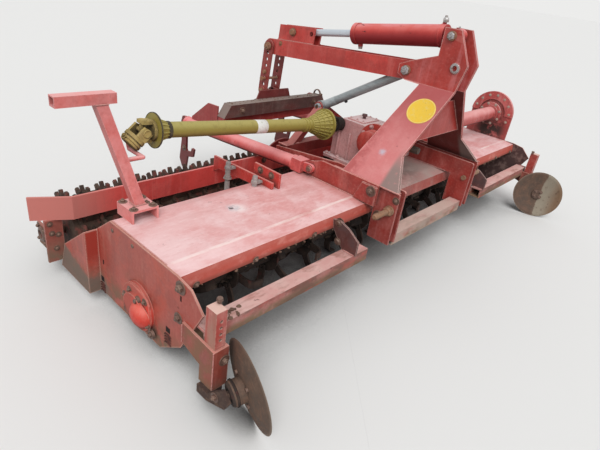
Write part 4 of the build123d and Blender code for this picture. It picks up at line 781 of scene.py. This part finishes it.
for side, name in ((-1, "left"), (1, "right")):
    centre = Vector((1.478 * side, -0.859, 0.1693))
    axis = Vector((0.9463 * side, 0.2839, -0.1547)).normalized()
    coat = rusty("disc_steel_" + name, (98, 82, 72), (122, 94, 78), (132, 110, 92), 0.3, 5.0 + side,
                 0.3)
    away = coat.vector("DISTANCE", coat.place, centre)
    rings = coat.add("TexNoise", None, away, 120.0, noise_dimensions="1D").outputs[0]
    coat.over((84, 68, 60), 0.6, coat.band(rings, 0.5, 0.7, 0.45), lift=0.0002)
    coat.over((142, 122, 106), 0.55, coat.band(away, 0.158, 0.17, 0.7), metal=0.4)
    if side > 0:
        # On the right disc a pale part of the face, browner beyond: the pale part is soil and a painted
        # reflection.
        from_hub = coat.vector("SUBTRACT", coat.place, centre, "Vector")
        across_disc = coat.vector("DOT_PRODUCT", from_hub, (0.587, -0.804, -0.097))
        ragged = coat.math("MULTIPLY_ADD", coat.grain(0.02, 5.0, shift=3), 0.02, across_disc)
        coat.over((172, 162, 144), 0.9, coat.band(ragged, 0.026, 0.034, 0.8))
        coat.over((132, 98, 70), 0.9, coat.band(ragged, 0.07, 0.15, 0.8))
        coat.over((104, 78, 66), 0.9, coat.patch(0.03, 0.55, 0.7, 0.6, shift=9))
    coat.done("disc_" + name)
    hub = bmesh.new()
    bolts = bmesh.new()
    side_way = axis.cross(Vector((0, 0, 1))).normalized()
    top_way = side_way.cross(axis)
    for c, s in around(4, 45):
        spoke = side_way * c + top_way * s
        add_bolt(bolts, centre + axis * 0.0085 + spoke * 0.026, -axis, 0.014)
        add_rings(bolts, centre + axis * 0.021 + spoke * 0.06, axis, (10, 0.009, 0.008, 0, 0.008))
    for out, profile in ((0.05, [(0.046, 0.0), (0.05, 0.002), (0.05, 0.008), (0.046, 0.01)]),
                         (0.066, [(0.046, 0.0), (0.04, 0.006), (0.024, 0.008), (0.018, 0.008)])):
        add_turned(hub, profile, centre + axis * out, axis)
    piece("disc_hub_" + name, hub, rotor_rust, "disc_" + name + "_body")
    piece("disc_bolts_" + name, bolts, dark_steel, "disc_" + name + "_body")
    clamp = bmesh.new()
    add_bolt(clamp, (1.514 * side, -0.7646, 0.238), (0, -1, 0), 0.021)
    add_rings(clamp, (1.505 * side, -0.712, 0.445), (0, 0, 1), (10, 0.008, 0.008, 0, 0.014),
              (8, 0.012, 0.01, 0.01, 0.02))
    add_bolt(clamp, (1.575 * side, -0.8, 0.135), (side, 0, 0), 0.018)
    piece("holder_bolts_" + name, clamp, dark_steel)
    welds = bmesh.new()
    add_weld(welds, (1.561 * side, -0.764, 0.292), (1.561 * side, -0.764, 0.122), 0.003)
    add_weld(welds, (1.56 * side, -0.586, 0.294), (1.56 * side, -0.586, 0.22), 0.004)
    piece("holder_welds_" + name, welds, weld_metal)

# Stand
# A raised foot bolted to the hood, a leaning square post and a cross bar, all square tube.
coat = old_paint("stand_paint", (226, 114, 108), (238, 170, 168), (238, 190, 186), 1.0, 0.4, 0.1, 0.45,
                 7.0, 0.5)
coat.over((240, 158, 156), 0.6, coat.patch(0.05, 0.3, 0.7, 0.5, shift=51))
coat.done("shaft_stand_base", "shaft_stand_post")
foot = (-1.436, -0.095)
post_top = (-1.5445, -0.051)
foot_z = 0.522
bolts = bmesh.new()
for x in (-0.042, 0.042):
    for y in (-0.042, 0.042):
        add_bolt(bolts, (foot[0] + x, foot[1] + y, foot_z), (0, 0, 1), 0.017)
add_bolt(bolts, (foot[0] + 0.034, foot[1] - 0.009, foot_z), (0, 0, 1), 0.013)
piece("stand_bolts", bolts, dark_steel)
welds = bmesh.new()
corners = [(-0.022, -0.022), (0.022, -0.022), (0.022, 0.022), (-0.022, 0.022)]
for (x0, y0), (x1, y1) in zip(corners, corners[1:] + corners[:1]):
    for (x, y), z, size in ((foot, foot_z + 0.002, 0.004), (post_top, 0.922, 0.003)):
        add_weld(welds, (x + x0, y + y0, z), (x + x1, y + y1, z), size)
piece("stand_welds", welds, weld_metal)

# Stowed drive shaft
# Steel joints and core inside an olive plastic guard with a ribbed bell at each end. A blank white
# label is wrapped round the guard.
coat = rusty("yoke_steel", (160, 140, 88), (184, 162, 98), (190, 170, 120), 0.5, 8.0, 0.6)
# Darker on faces turned down: painted shade. Darker in corners: dirt, and painted shade.
coat.over((58, 46, 34), 0.9, coat.band(coat.facing, -0.1, -0.7, 0.8))
coat.over((44, 34, 26), 0.95, coat.corner(0.05, 0.75, 0.35, 0.85))
coat.over((40, 32, 28), 0.9, coat.band(coat.x, -0.3, -0.22))
yoke_steel = coat.done("drive_shaft_core")
coat = Finish("olive", (146, 132, 58), rough=0.5)
# Lighter on top and darker underneath: painted highlight and painted shade.
coat.over((178, 166, 98), 0.6, coat.band(coat.facing, 0.0, 0.9, 0.8))
coat.over((104, 92, 44), 0.6, coat.band(coat.facing, -0.1, -0.8, 0.7))
coat.over((120, 106, 54), 0.8, coat.patch(0.03, 0.5, 0.75, 0.4))
coat.over((92, 80, 46), 0.9, coat.patch(0.005, 0.6, 0.7, 0.4, 4.0, shift=3))
olive = coat.done("drive_shaft_guard")
inner_end = Vector((-0.105, -0.045, 0.676))
shaft_run = Vector((-1.43, 0.0, 0.79)) - inner_end
shaft_way = shaft_run.normalized()
shaft_long = shaft_run.length
guard_in = inner_end + shaft_way * shaft_long * 0.11
guard_out = inner_end + shaft_way * shaft_long * 0.865
bell_ribs = bmesh.new()
side_way = shaft_way.cross(Vector((0, 0, 1))).normalized()
top_way = side_way.cross(shaft_way)
for c, s in around(20):
    spoke = side_way * c + top_way * s
    low = guard_in + shaft_way * 0.014 + spoke * 0.0755
    high = guard_in + shaft_way * 0.12 + spoke * 0.037
    add_rings(bell_ribs, low, high - low, (6, 0.0042, 0.003, 0, (high - low).length))
for place, r in ((0.03, 0.069), (0.06, 0.0585), (0.09, 0.048), (0.128, 0.035), (0.15, 0.0335),
                 (0.172, 0.0335)):
    add_turned(bell_ribs, [(r - 0.001, -0.004), (r + 0.0035, -0.0025), (r + 0.0035, 0.0025),
                           (r - 0.001, 0.004)], guard_in + shaft_way * place, shaft_way, 36)
for c, s in around(16):
    spoke = side_way * c + top_way * s
    low = guard_out + spoke * 0.0335
    high = guard_out + shaft_way * 0.05 + spoke * 0.0485
    add_rings(bell_ribs, low, high - low, (6, 0.003, 0.004, 0, (high - low).length))
piece("guard_ribs", bell_ribs, olive)
bands = bmesh.new()
add_turned(bands, [(0.0325, -0.009), (0.0365, -0.008), (0.0365, 0.008), (0.0325, 0.009)],
           guard_out - shaft_way * 0.006, shaft_way, 32)
add_turned(bands, [(0.071, -0.001), (0.073, 0.0), (0.073, 0.005), (0.071, 0.006)],
           guard_out + shaft_way * 0.053, shaft_way, 40)
coat = Finish("black_band", (62, 54, 40), rough=0.7)
coat.over((98, 88, 62), None, coat.patch(0.02, 0.45, 0.7, 0.6, 4.0))
black_band = coat.done()
piece("guard_bands", bands, black_band)
label = bmesh.new()
add_turned(label, [(0.0329, -0.034), (0.0336, -0.033), (0.0336, 0.033), (0.0329, 0.034)],
           guard_in + shaft_way * 0.49, shaft_way, 32)
coat = Finish("blank_label", (226, 226, 222), rough=0.5)
coat.over((172, 168, 148), 0.7, coat.patch(0.012, 0.5, 0.68, 0.5, 4.0))
coat.over((128, 124, 100), 0.7, coat.patch(0.004, 0.62, 0.68, 0.5, 3.0, shift=4))
piece("guard_label", label, coat.done())
yoke_reach = 0.049
bell_long = 0.058
joint_out = guard_out + shaft_way * (bell_long + yoke_reach)
joint_in = guard_in - shaft_way * yoke_reach
hang_way = Matrix.Rotation(radians(-45), 3, side_way) @ shaft_way
details = bmesh.new()
for centre in (joint_out, joint_in):
    for way in (top_way, side_way):
        for sign in (-1, 1):
            add_turned(details, [(0.018, -0.01), (0.018, 0.001), (0.0145, 0.003), (0.011, 0.001),
                                 (0.0, 0.001)], centre + way * sign * 0.0445, way * sign, 20)
add_turned(details, [(0.039, 0.0), (0.043, 0.002), (0.043, 0.01), (0.039, 0.012)],
           joint_out + hang_way * 0.052, hang_way, 28)
add_turned(details, [(0.039, 0.0), (0.034, 0.003), (0.02, 0.003), (0.018, -0.004), (0.0, -0.004)],
           joint_out + hang_way * 0.0725, hang_way, 28)
yoke_down = hang_way.cross(side_way).normalized()
for way in (-yoke_down, yoke_down):
    add_bolt(details, joint_out + hang_way * 0.062 + way * 0.039, way, 0.014)
piece("yoke_details", details, yoke_steel)

# Packer roller
# A closed drum with welded toothed rings, which presses the tilled soil; dark with damp earth that
# has dried in cakes between the rings.
coat = rusty("roller_rust", (60, 48, 42), (84, 62, 52), (104, 86, 72), 0.8, 3.0)
coat.over((138, 68, 62), 0.7, coat.patch(0.05, 0.5, 0.62, 0.6, shift=9))
coat.done("packer_drum", "packer_rings", "packer_scrapers")
roller_y = 0.435
roller_z = 0.1847
cakes = bmesh.new()
for _ in range(900):
    a = random.uniform(0, 6.28)
    spot = Vector((random.uniform(-1.5, 1.5), roller_y + 0.143 * cos(a), roller_z + 0.143 * sin(a)))
    add_clod(cakes, spot, random.uniform(0.004, 0.014))
for i in range(31):
    x = (i - 15) * 0.1
    for _ in range(10):
        a = random.uniform(0, 6.28)
        way = random.choice((-1, 1))
        spot = Vector((x + 0.009 * way, roller_y + 0.152 * cos(a), roller_z + 0.152 * sin(a)))
        add_clod(cakes, spot, random.uniform(0.006, 0.013))
piece("roller_earth", cakes, earth, "packer", 60)

# Packer frame
# A folded board across the machine on two hangers, with a leg at each end for the roller's bearing.
# Threaded spindles set its height.
coat = old_paint("board_paint", (240, 84, 78), (236, 156, 150), (228, 176, 168), 0.9, 0.25, 0.12, 0.3,
                 5.0, 0.3)
coat.over((244, 92, 86), 0.45, coat.patch(0.3, 0.3, 0.7, 0.6, 4.0, shift=51))
dusty_end = coat.band(coat.x, -1.25, -1.55)
coat.over((198, 130, 120), 0.7, dusty_end, 0.8)
rear_dirt = coat.times(coat.band(coat.along, 0.3, 0.8), coat.patch(0.08, 0.35, 0.6, 0.8))
coat.over((112, 78, 68), 0.95, rear_dirt)
coat.done("packer_board")
coat = old_paint("hanger_paint", (204, 58, 50), (216, 126, 118), (220, 166, 158), 0.8, 0.35, 0.12, 0.5,
                 6.0)
coat.done("packer_hangers_left", "packer_hangers_right")
coat = old_paint("leg_paint", (168, 92, 80), (190, 124, 112), (190, 140, 126), 0.8, 0.6, 0.25, 0.6, 8.0)
coat.done("packer_leg_left", "packer_leg_right")
coat = old_paint("dark_paint", (112, 28, 28), (132, 60, 56), (150, 100, 94), 0.8, 0.35, 0.12, 0.4, 9.0)
dark_paint = coat.done("packer_arch")
coat = rusty("spindle_steel", (172, 168, 166), (156, 144, 138), (172, 158, 148), 0.3, 2.0, 0.3)
spindle_steel = coat.done("packer_screws")
threads = bmesh.new()
screw_x = 0.822
for side in (-1, 1):
    for y, low in ((-0.115, 0.504), (0.09, 0.362)):
        turns = int((0.518 - low) / 0.005)
        for k in range(turns):
            add_rings(threads, (screw_x * side, y, low + 0.005 * k), (0, 0, 1),
                      (14, 0.0125, 0.014, 0, 0.0025), (14, 0.014, 0.0125, 0.0025, 0.005))
        add_rings(threads, (screw_x * side, y, 0.484), (0, 0, 1), (6, 0.018, 0.018, 0, 0.013),
                  (6, 0.018, 0.015, 0.013, 0.016))
    add_rings(threads, (screw_x * side, 0.09, 0.432), (0, 0, 1), (6, 0.018, 0.018, 0, 0.013),
              (16, 0.022, 0.022, -0.003, 0))
piece("spindle_threads", threads, spindle_steel)
bolts = bmesh.new()
for side in (-1, 1):
    for x, z in ((1.638, 0.3), (1.633, 0.252), (1.606, 0.24), (1.62, 0.172)):
        add_bolt(bolts, (x * side, 0.302, z), (0, -1, 0), 0.013)
    for y, z in ((0.4, 0.215), (0.47, 0.215), (0.4, 0.15), (0.47, 0.15)):
        add_bolt(bolts, (1.628 * side, y, z), (side, 0, 0), 0.017)
    for y in (-0.15, -0.07):
        add_bolt(bolts, (0.746 * side, y, 0.52), (side, 0, 0), 0.018)
for x in (-0.4, -0.1):
    add_bolt(bolts, (x, 0.26, 0.395), (0, -1, 0), 0.018)
piece("packer_frame_bolts", bolts, dark_steel)
bearings = bmesh.new()
for side in (-1, 1):
    add_turned(bearings, [(0.038, 0.0), (0.038, 0.006), (0.03, 0.01), (0.022, 0.011), (0.02, 0.004)],
               (1.628 * side, roller_y, roller_z), (side, 0, 0), 32)
piece("packer_bearings", bearings, dark_steel)
welds = bmesh.new()
add_welds(welds, ((1.59, 0.313, 0.318), (1.655, 0.313, 0.318), 0.004),
          ((0.768, -0.19, 0.469), (0.768, -0.085, 0.469), 0.004),
          ((0.733, -0.2, 0.469), (0.733, -0.085, 0.469), 0.004))
piece("packer_frame_welds", welds, weld_metal)

# Rear frame and stay
# An A of square tube behind the gearbox, tied to the mast by a dull zinc-coated bar with threaded
# ends.
coat = old_paint("rear_paint", (150, 44, 40), (176, 98, 92), (176, 130, 122), 0.8, 0.4, 0.1, 0.45, 4.0)
coat.done("rear_frame")
coat = Finish("zinc", (162, 170, 172), rough=0.5, metal=0.25)
coat.over((126, 136, 140), 0.65, coat.patch(0.02, 0.4, 0.7, 0.6, 4.0, stretch=(1, 0.2, 1)))
# Lighter on faces turned up: painted highlight.
coat.over((196, 202, 202), 0.6, coat.band(coat.facing, 0.3, 0.9, 0.7))
coat.over((92, 92, 86), 0.8, coat.patch(0.006, 0.58, 0.7, 0.5, 4.0, shift=2))
zinc = coat.done("mast_stay")
stay_low = Vector((0, 0.198, 0.706))
stay_way = (Vector((0, -0.368, 1.051)) - stay_low).normalized()
details = bmesh.new()
for k in range(16):
    add_rings(details, stay_low + stay_way * (0.045 + 0.005 * k), stay_way,
              (16, 0.025, 0.0268, 0, 0.0025), (16, 0.0268, 0.025, 0.0025, 0.005))
for side in (-1, 1):
    add_rings(details, (0.05 * side, *stay_low.yz), (side, 0, 0), (18, 0.022, 0.022, -0.014, -0.011),
              (6, 0.02, 0.02, -0.011, 0.0))
piece("stay_details", details, zinc)
stay_lug = bmesh.new()
stay_down = Vector((1, 0, 0)).cross(stay_way).normalized()
add_rings(stay_lug, stay_low + stay_way * 0.19, stay_down, (8, 0.011, 0.01, 0.02, 0.031),
          (8, 0.01, 0.006, 0.031, 0.036))
coat = Finish("lug_rubber", (40, 38, 38), rough=0.8)
coat.over((78, 72, 70), 0.9, coat.patch(0.004, 0.45, 0.7, 0.6, 3.0))
piece("stay_lug", stay_lug, coat.done())
welds = bmesh.new()
add_welds(welds, ((0.377, 0.109, 0.532), (0.377, 0.173, 0.532), 0.004),
          ((0.262, 0.118, 0.531), (0.31, 0.118, 0.531), 0.004),
          ((0.262, 0.164, 0.531), (0.31, 0.164, 0.531), 0.004))
piece("rear_frame_welds", welds, weld_metal)

# Lift lever, cylinder and link
# Two flat bars pivoting in the mast, lifted by a hydraulic cylinder with a chromed rod, and a
# perforated link down to the rear hitch.
coat = old_paint("lever_paint", (206, 64, 56), (220, 124, 116), (222, 152, 144), 0.8, 0.25, 0.1, 0.45,
                 3.0)
coat.done("lever_left", "lever_right")
coat = old_paint("link_paint", (150, 54, 48), (186, 100, 94), (190, 130, 122), 0.6, 0.25, 0.1, 0.45,
                 6.0)
coat.done("lift_link")
cyl_foot = Vector((0, -0.568, 1.251))
rod_eye = Vector((0, 0.482, 1.092))
cyl_way = (rod_eye - cyl_foot).normalized()
cyl_up = Vector((0, -cyl_way.z, cyl_way.y))
barrel_r = 0.053
coat = old_paint("barrel_paint", (214, 66, 58), (222, 108, 102), (218, 150, 142), 0.8, 0.2, 0.1, 0.35,
                 2.0)
# Pale pink along the top: painted highlight.
coat.over((232, 146, 150), 0.42, coat.band(coat.facing, 0.55, 0.85, 0.7),
          coat.patch(0.04, 0.35, 0.6, detail=4.0, stretch=(1, 0.2, 1)))
# Deep red underneath: painted shade.
coat.over((140, 26, 34), 0.5, coat.band(coat.facing, 0.55, -0.3, 0.9))
coat.over((70, 30, 30), 0.8, coat.patch(0.02, 0.66, 0.72, detail=4.0, stretch=(1, 0.4, 1), shift=6),
          coat.band(coat.facing, -0.2, 0.1))
nipple = cyl_foot + cyl_way * 0.076 + cyl_up * (barrel_r + 0.02)
coat.over((196, 194, 192), 0.35, coat.spot(nipple, 0.015, 0.0165), metal=0.4)
barrel_paint = coat.done("cylinder_barrel")
coat = Finish("chrome", (206, 214, 222), rough=0.3, metal=0.3)
coat.over((168, 168, 168), 0.4, coat.patch(0.02, 0.55, 0.75, 0.3, 3.0))
coat.over((236, 240, 244), 0.3, coat.patch(0.003, 0.6, 0.7, 0.3, 3.0, stretch=(1, 0.05, 1)))
coat.done("cylinder_rod")
details = bmesh.new()
add_turned(details, [(0.053, 0.0), (0.0555, 0.002), (0.0555, 0.01), (0.053, 0.012)],
           cyl_foot + cyl_way * 0.082, cyl_way, 40)
add_turned(details, [(0.053, -0.004), (0.0535, 0.0), (0.048, 0.004), (0.034, 0.007), (0.022, 0.007)],
           cyl_foot + cyl_way * 0.612, cyl_way, 40)
add_rings(details, cyl_foot + cyl_way * 0.575 - cyl_up * 0.048, -cyl_up, (14, 0.014, 0.014, 0, 0.018))
piece("barrel_details", details, barrel_paint, "barrel")
fittings = bmesh.new()
add_rings(fittings, nipple - cyl_up * 0.012, cyl_up, (6, 0.0155, 0.0155, 0, 0.009))
add_rings(fittings, nipple, cyl_up, (12, 0.008, 0.006, 0.01, 0.019))
add_rings(fittings, cyl_foot + cyl_way * 0.575 - cyl_up * 0.066, -cyl_up, (6, 0.013, 0.013, 0, 0.01),
          (6, 0.013, 0.01, 0.01, 0.013))
add_rings(fittings, cyl_foot + cyl_up * 0.034, cyl_up, (6, 0.006, 0.006, 0, 0.005),
          (8, 0.004, 0.002, 0.005, 0.01))
piece("barrel_fittings", fittings, spindle_steel, "barrel")
wiper = bmesh.new()
add_turned(wiper, [(0.0205, 0.0), (0.026, 0.0), (0.026, 0.004), (0.0205, 0.006)],
           cyl_foot + cyl_way * 0.617, cyl_way, 28)
piece("rod_wiper", wiper, black_band, "barrel")
details = bmesh.new()
for side in (-1, 1):
    add_rings(details, (0.052 * side, *rod_eye.yz), (side, 0, 0),
              (16, 0.024, 0.024, -0.011, -0.008), (6, 0.02, 0.02, -0.008, 0.003),
              (6, 0.02, 0.016, 0.003, 0.006))
    add_rings(details, (0.078 * side, 0.661, 0.977), (side, 0, 0), (6, 0.022, 0.022, 0, 0.007),
              (10, 0.012, 0.01, 0.007, 0.013))
    add_bolt(details, (0.036 * side, 0.335, 1.105), (-side, 0, 0), 0.013)
    add_bolt(details, (0.048 * side, 0.57, 1.01), (side, 0, 0), 0.014)
piece("lever_nuts", details, pin_steel, "lever")
welds = bmesh.new()
add_welds(welds, ((0.0375, 0.315, 1.05), (0.0375, 0.6, 1.03), 0.0035))
piece("lever_welds", welds, weld_metal, "lever")
details = bmesh.new()
for side in (-1, 1):
    add_rings(details, (0.072 * side, 0.682, 0.69), (side, 0, 0), (6, 0.018, 0.018, 0, 0.008),
              (8, 0.01, 0.008, 0.008, 0.014))
    add_rings(details, (0.062 * side, 0.673, 0.813), (side, 0, 0), (14, 0.015, 0.015, 0, 0.003),
              (6, 0.012, 0.012, 0.003, 0.013))
add_rings(details, (-0.085, 0.667, 0.772), (1, 0, 0), (12, 0.009, 0.009, -0.006, 0.15),
          (12, 0.014, 0.014, -0.012, -0.004))
piece("link_pins", details, pin_steel, "link")

# Lift arms and hitch
# Pipes from the rails back to hooks, joined by a dusty beam that carries the hitch tower.
coat = old_paint("arm_paint", (226, 92, 88), (236, 142, 142), (236, 174, 170), 1.0, 0.35, 0.1, 0.3, 4.0)
arm_paint = coat.done("lift_arm_left", "lift_arm_right")
coat = old_paint("hitch_paint", (98, 50, 46), (146, 128, 120), (136, 122, 114), 1.0, 0.8, 0.1, 0.35,
                 3.0)
coat.over((78, 60, 56), 0.9, coat.patch(0.05, 0.4, 0.65, 0.6, stretch=(0.3, 1, 1)),
          coat.band(coat.facing, 0.6, 0.2))
coat.done("hitch_beam")
coat = old_paint("support_paint", (168, 54, 52), (186, 96, 92), (190, 136, 130), 0.8, 0.35, 0.12, 0.4,
                 13.0)
coat.done("hitch_supports")
dress(dark_paint, "hitch_tower", "hitch_hooks")
details = bmesh.new()
arm_way = (Vector((0, 0.95, 0.436)) - Vector((0, -0.054, 0.503))).normalized()
for side in (-1, 1):
    start = Vector((0.47 * side, -0.054, 0.503))
    add_turned(details, [(0.038, 0.0), (0.043, 0.003), (0.043, 0.012), (0.038, 0.016)], start, arm_way,
               28)
    add_turned(details, [(0.038, 0.0), (0.041, 0.002), (0.041, 0.022), (0.038, 0.024)],
               start + arm_way * 0.975, arm_way, 28)
add_welds(details, ((0.458, 0.952, 0.474), (0.458, 0.952, 0.398), 0.0045),
          ((0.482, 0.952, 0.474), (0.482, 0.952, 0.398), 0.0045),
          ((0.464, 0.56, 0.502), (0.464, 0.62, 0.498), 0.0045))
piece("arm_details", details, arm_paint, "arms")
bolts = bmesh.new()
for side in (-1, 1):
    for x in (0.1, 0.16):
        for z in (0.59, 0.632):
            add_bolt(bolts, (x * side, 0.635, z), (0, 1, 0), 0.018)
    add_bolt(bolts, (0.478 * side, 0.975, 0.35), (side, 0, 0), 0.022)
    add_bolt(bolts, (0.478 * side, 0.968, 0.25), (side, 0, 0), 0.02)
    add_bolt(bolts, (0.34 * side, 0.555, 0.61), (0, -1, 0), 0.022)
piece("hitch_bolts", bolts, dark_steel, "arms")
hoop = bmesh.new()
for x in (0.408, 0.418):
    ring = [Vector((x, 0.592 + 0.03 * c, 0.65 + 0.034 * s)) for c, s in around(11, -10, 20)]
    for start, end in zip(ring, ring[1:]):
        run = end - start
        add_rings(hoop, start, run, (8, 0.0035, 0.0035, -0.001, run.length + 0.001))
add_rings(hoop, (0.398, 0.562, 0.652), (1, 0, 0), (12, 0.006, 0.006, 0, 0.034),
          (6, 0.01, 0.01, 0.024, 0.032))
piece("beam_shackle", hoop, dark_steel, "arms")
beam_earth = bmesh.new()
for _ in range(70):
    spot = (random.uniform(-0.42, 0.42), random.uniform(0.56, 0.62), 0.65)
    add_clod(beam_earth, spot, random.uniform(0.002, 0.006))
piece("beam_earth", beam_earth, dry_earth, "arms", 60)

# Studio
# A pale floor and even light from above. The floor throws little light back up, as yard concrete
# does, so the underside stays dark; the floor under the machine also carries a painted shadow.
floor_size = 400.0
shape = bmesh.new()
bmesh.ops.create_grid(shape, x_segments=1, y_segments=1, size=floor_size)
floor = bpy.data.objects.new("floor", bpy.data.meshes.new("floor"))
shape.to_mesh(floor.data)
shape.free()
bpy.context.scene.collection.objects.link(floor)
coat = Finish("pale_floor", (124, 124, 122), rough=0.9)
rays = coat.add("LightPath").outputs
seen = coat.sum(rays["Is Camera Ray"], rays["Is Glossy Ray"], rays["Is Transmission Ray"])
coat.over((0.8, 0.8, 0.79, 1), None, seen)
# Darker where the machine closes over the floor: painted shadow.
coat.over((40, 36, 34), None, coat.corner(0.8, 0.62, 0.12, 0.95, 16))
floor.data.materials.append(coat.done())
sky = bpy.data.worlds.new("sky")
bpy.context.scene.world = sky
sky.use_nodes = True
background = sky.node_tree.nodes["Background"]
ray = sky.node_tree.nodes.new("ShaderNodeLightPath").outputs
backdrop = sky.node_tree.nodes.new("ShaderNodeMixRGB")
backdrop.inputs["Color1"].default_value = (0.62, 0.62, 0.62, 1)
backdrop.inputs["Color2"].default_value = (0.84, 0.84, 0.83, 1)
sky.node_tree.links.new(ray["Is Camera Ray"], backdrop.inputs["Fac"])
sky.node_tree.links.new(backdrop.outputs[0], background.inputs["Color"])
sun = bpy.data.objects.new("sun", bpy.data.lights.new("sun", "SUN"))
sun.data.energy = 1.8
sun.data.angle = radians(35)
sun.rotation_euler = (radians(30), radians(-34), 0)
bpy.context.scene.collection.objects.link(sun)
bpy.context.scene.view_settings.view_transform = "Standard"
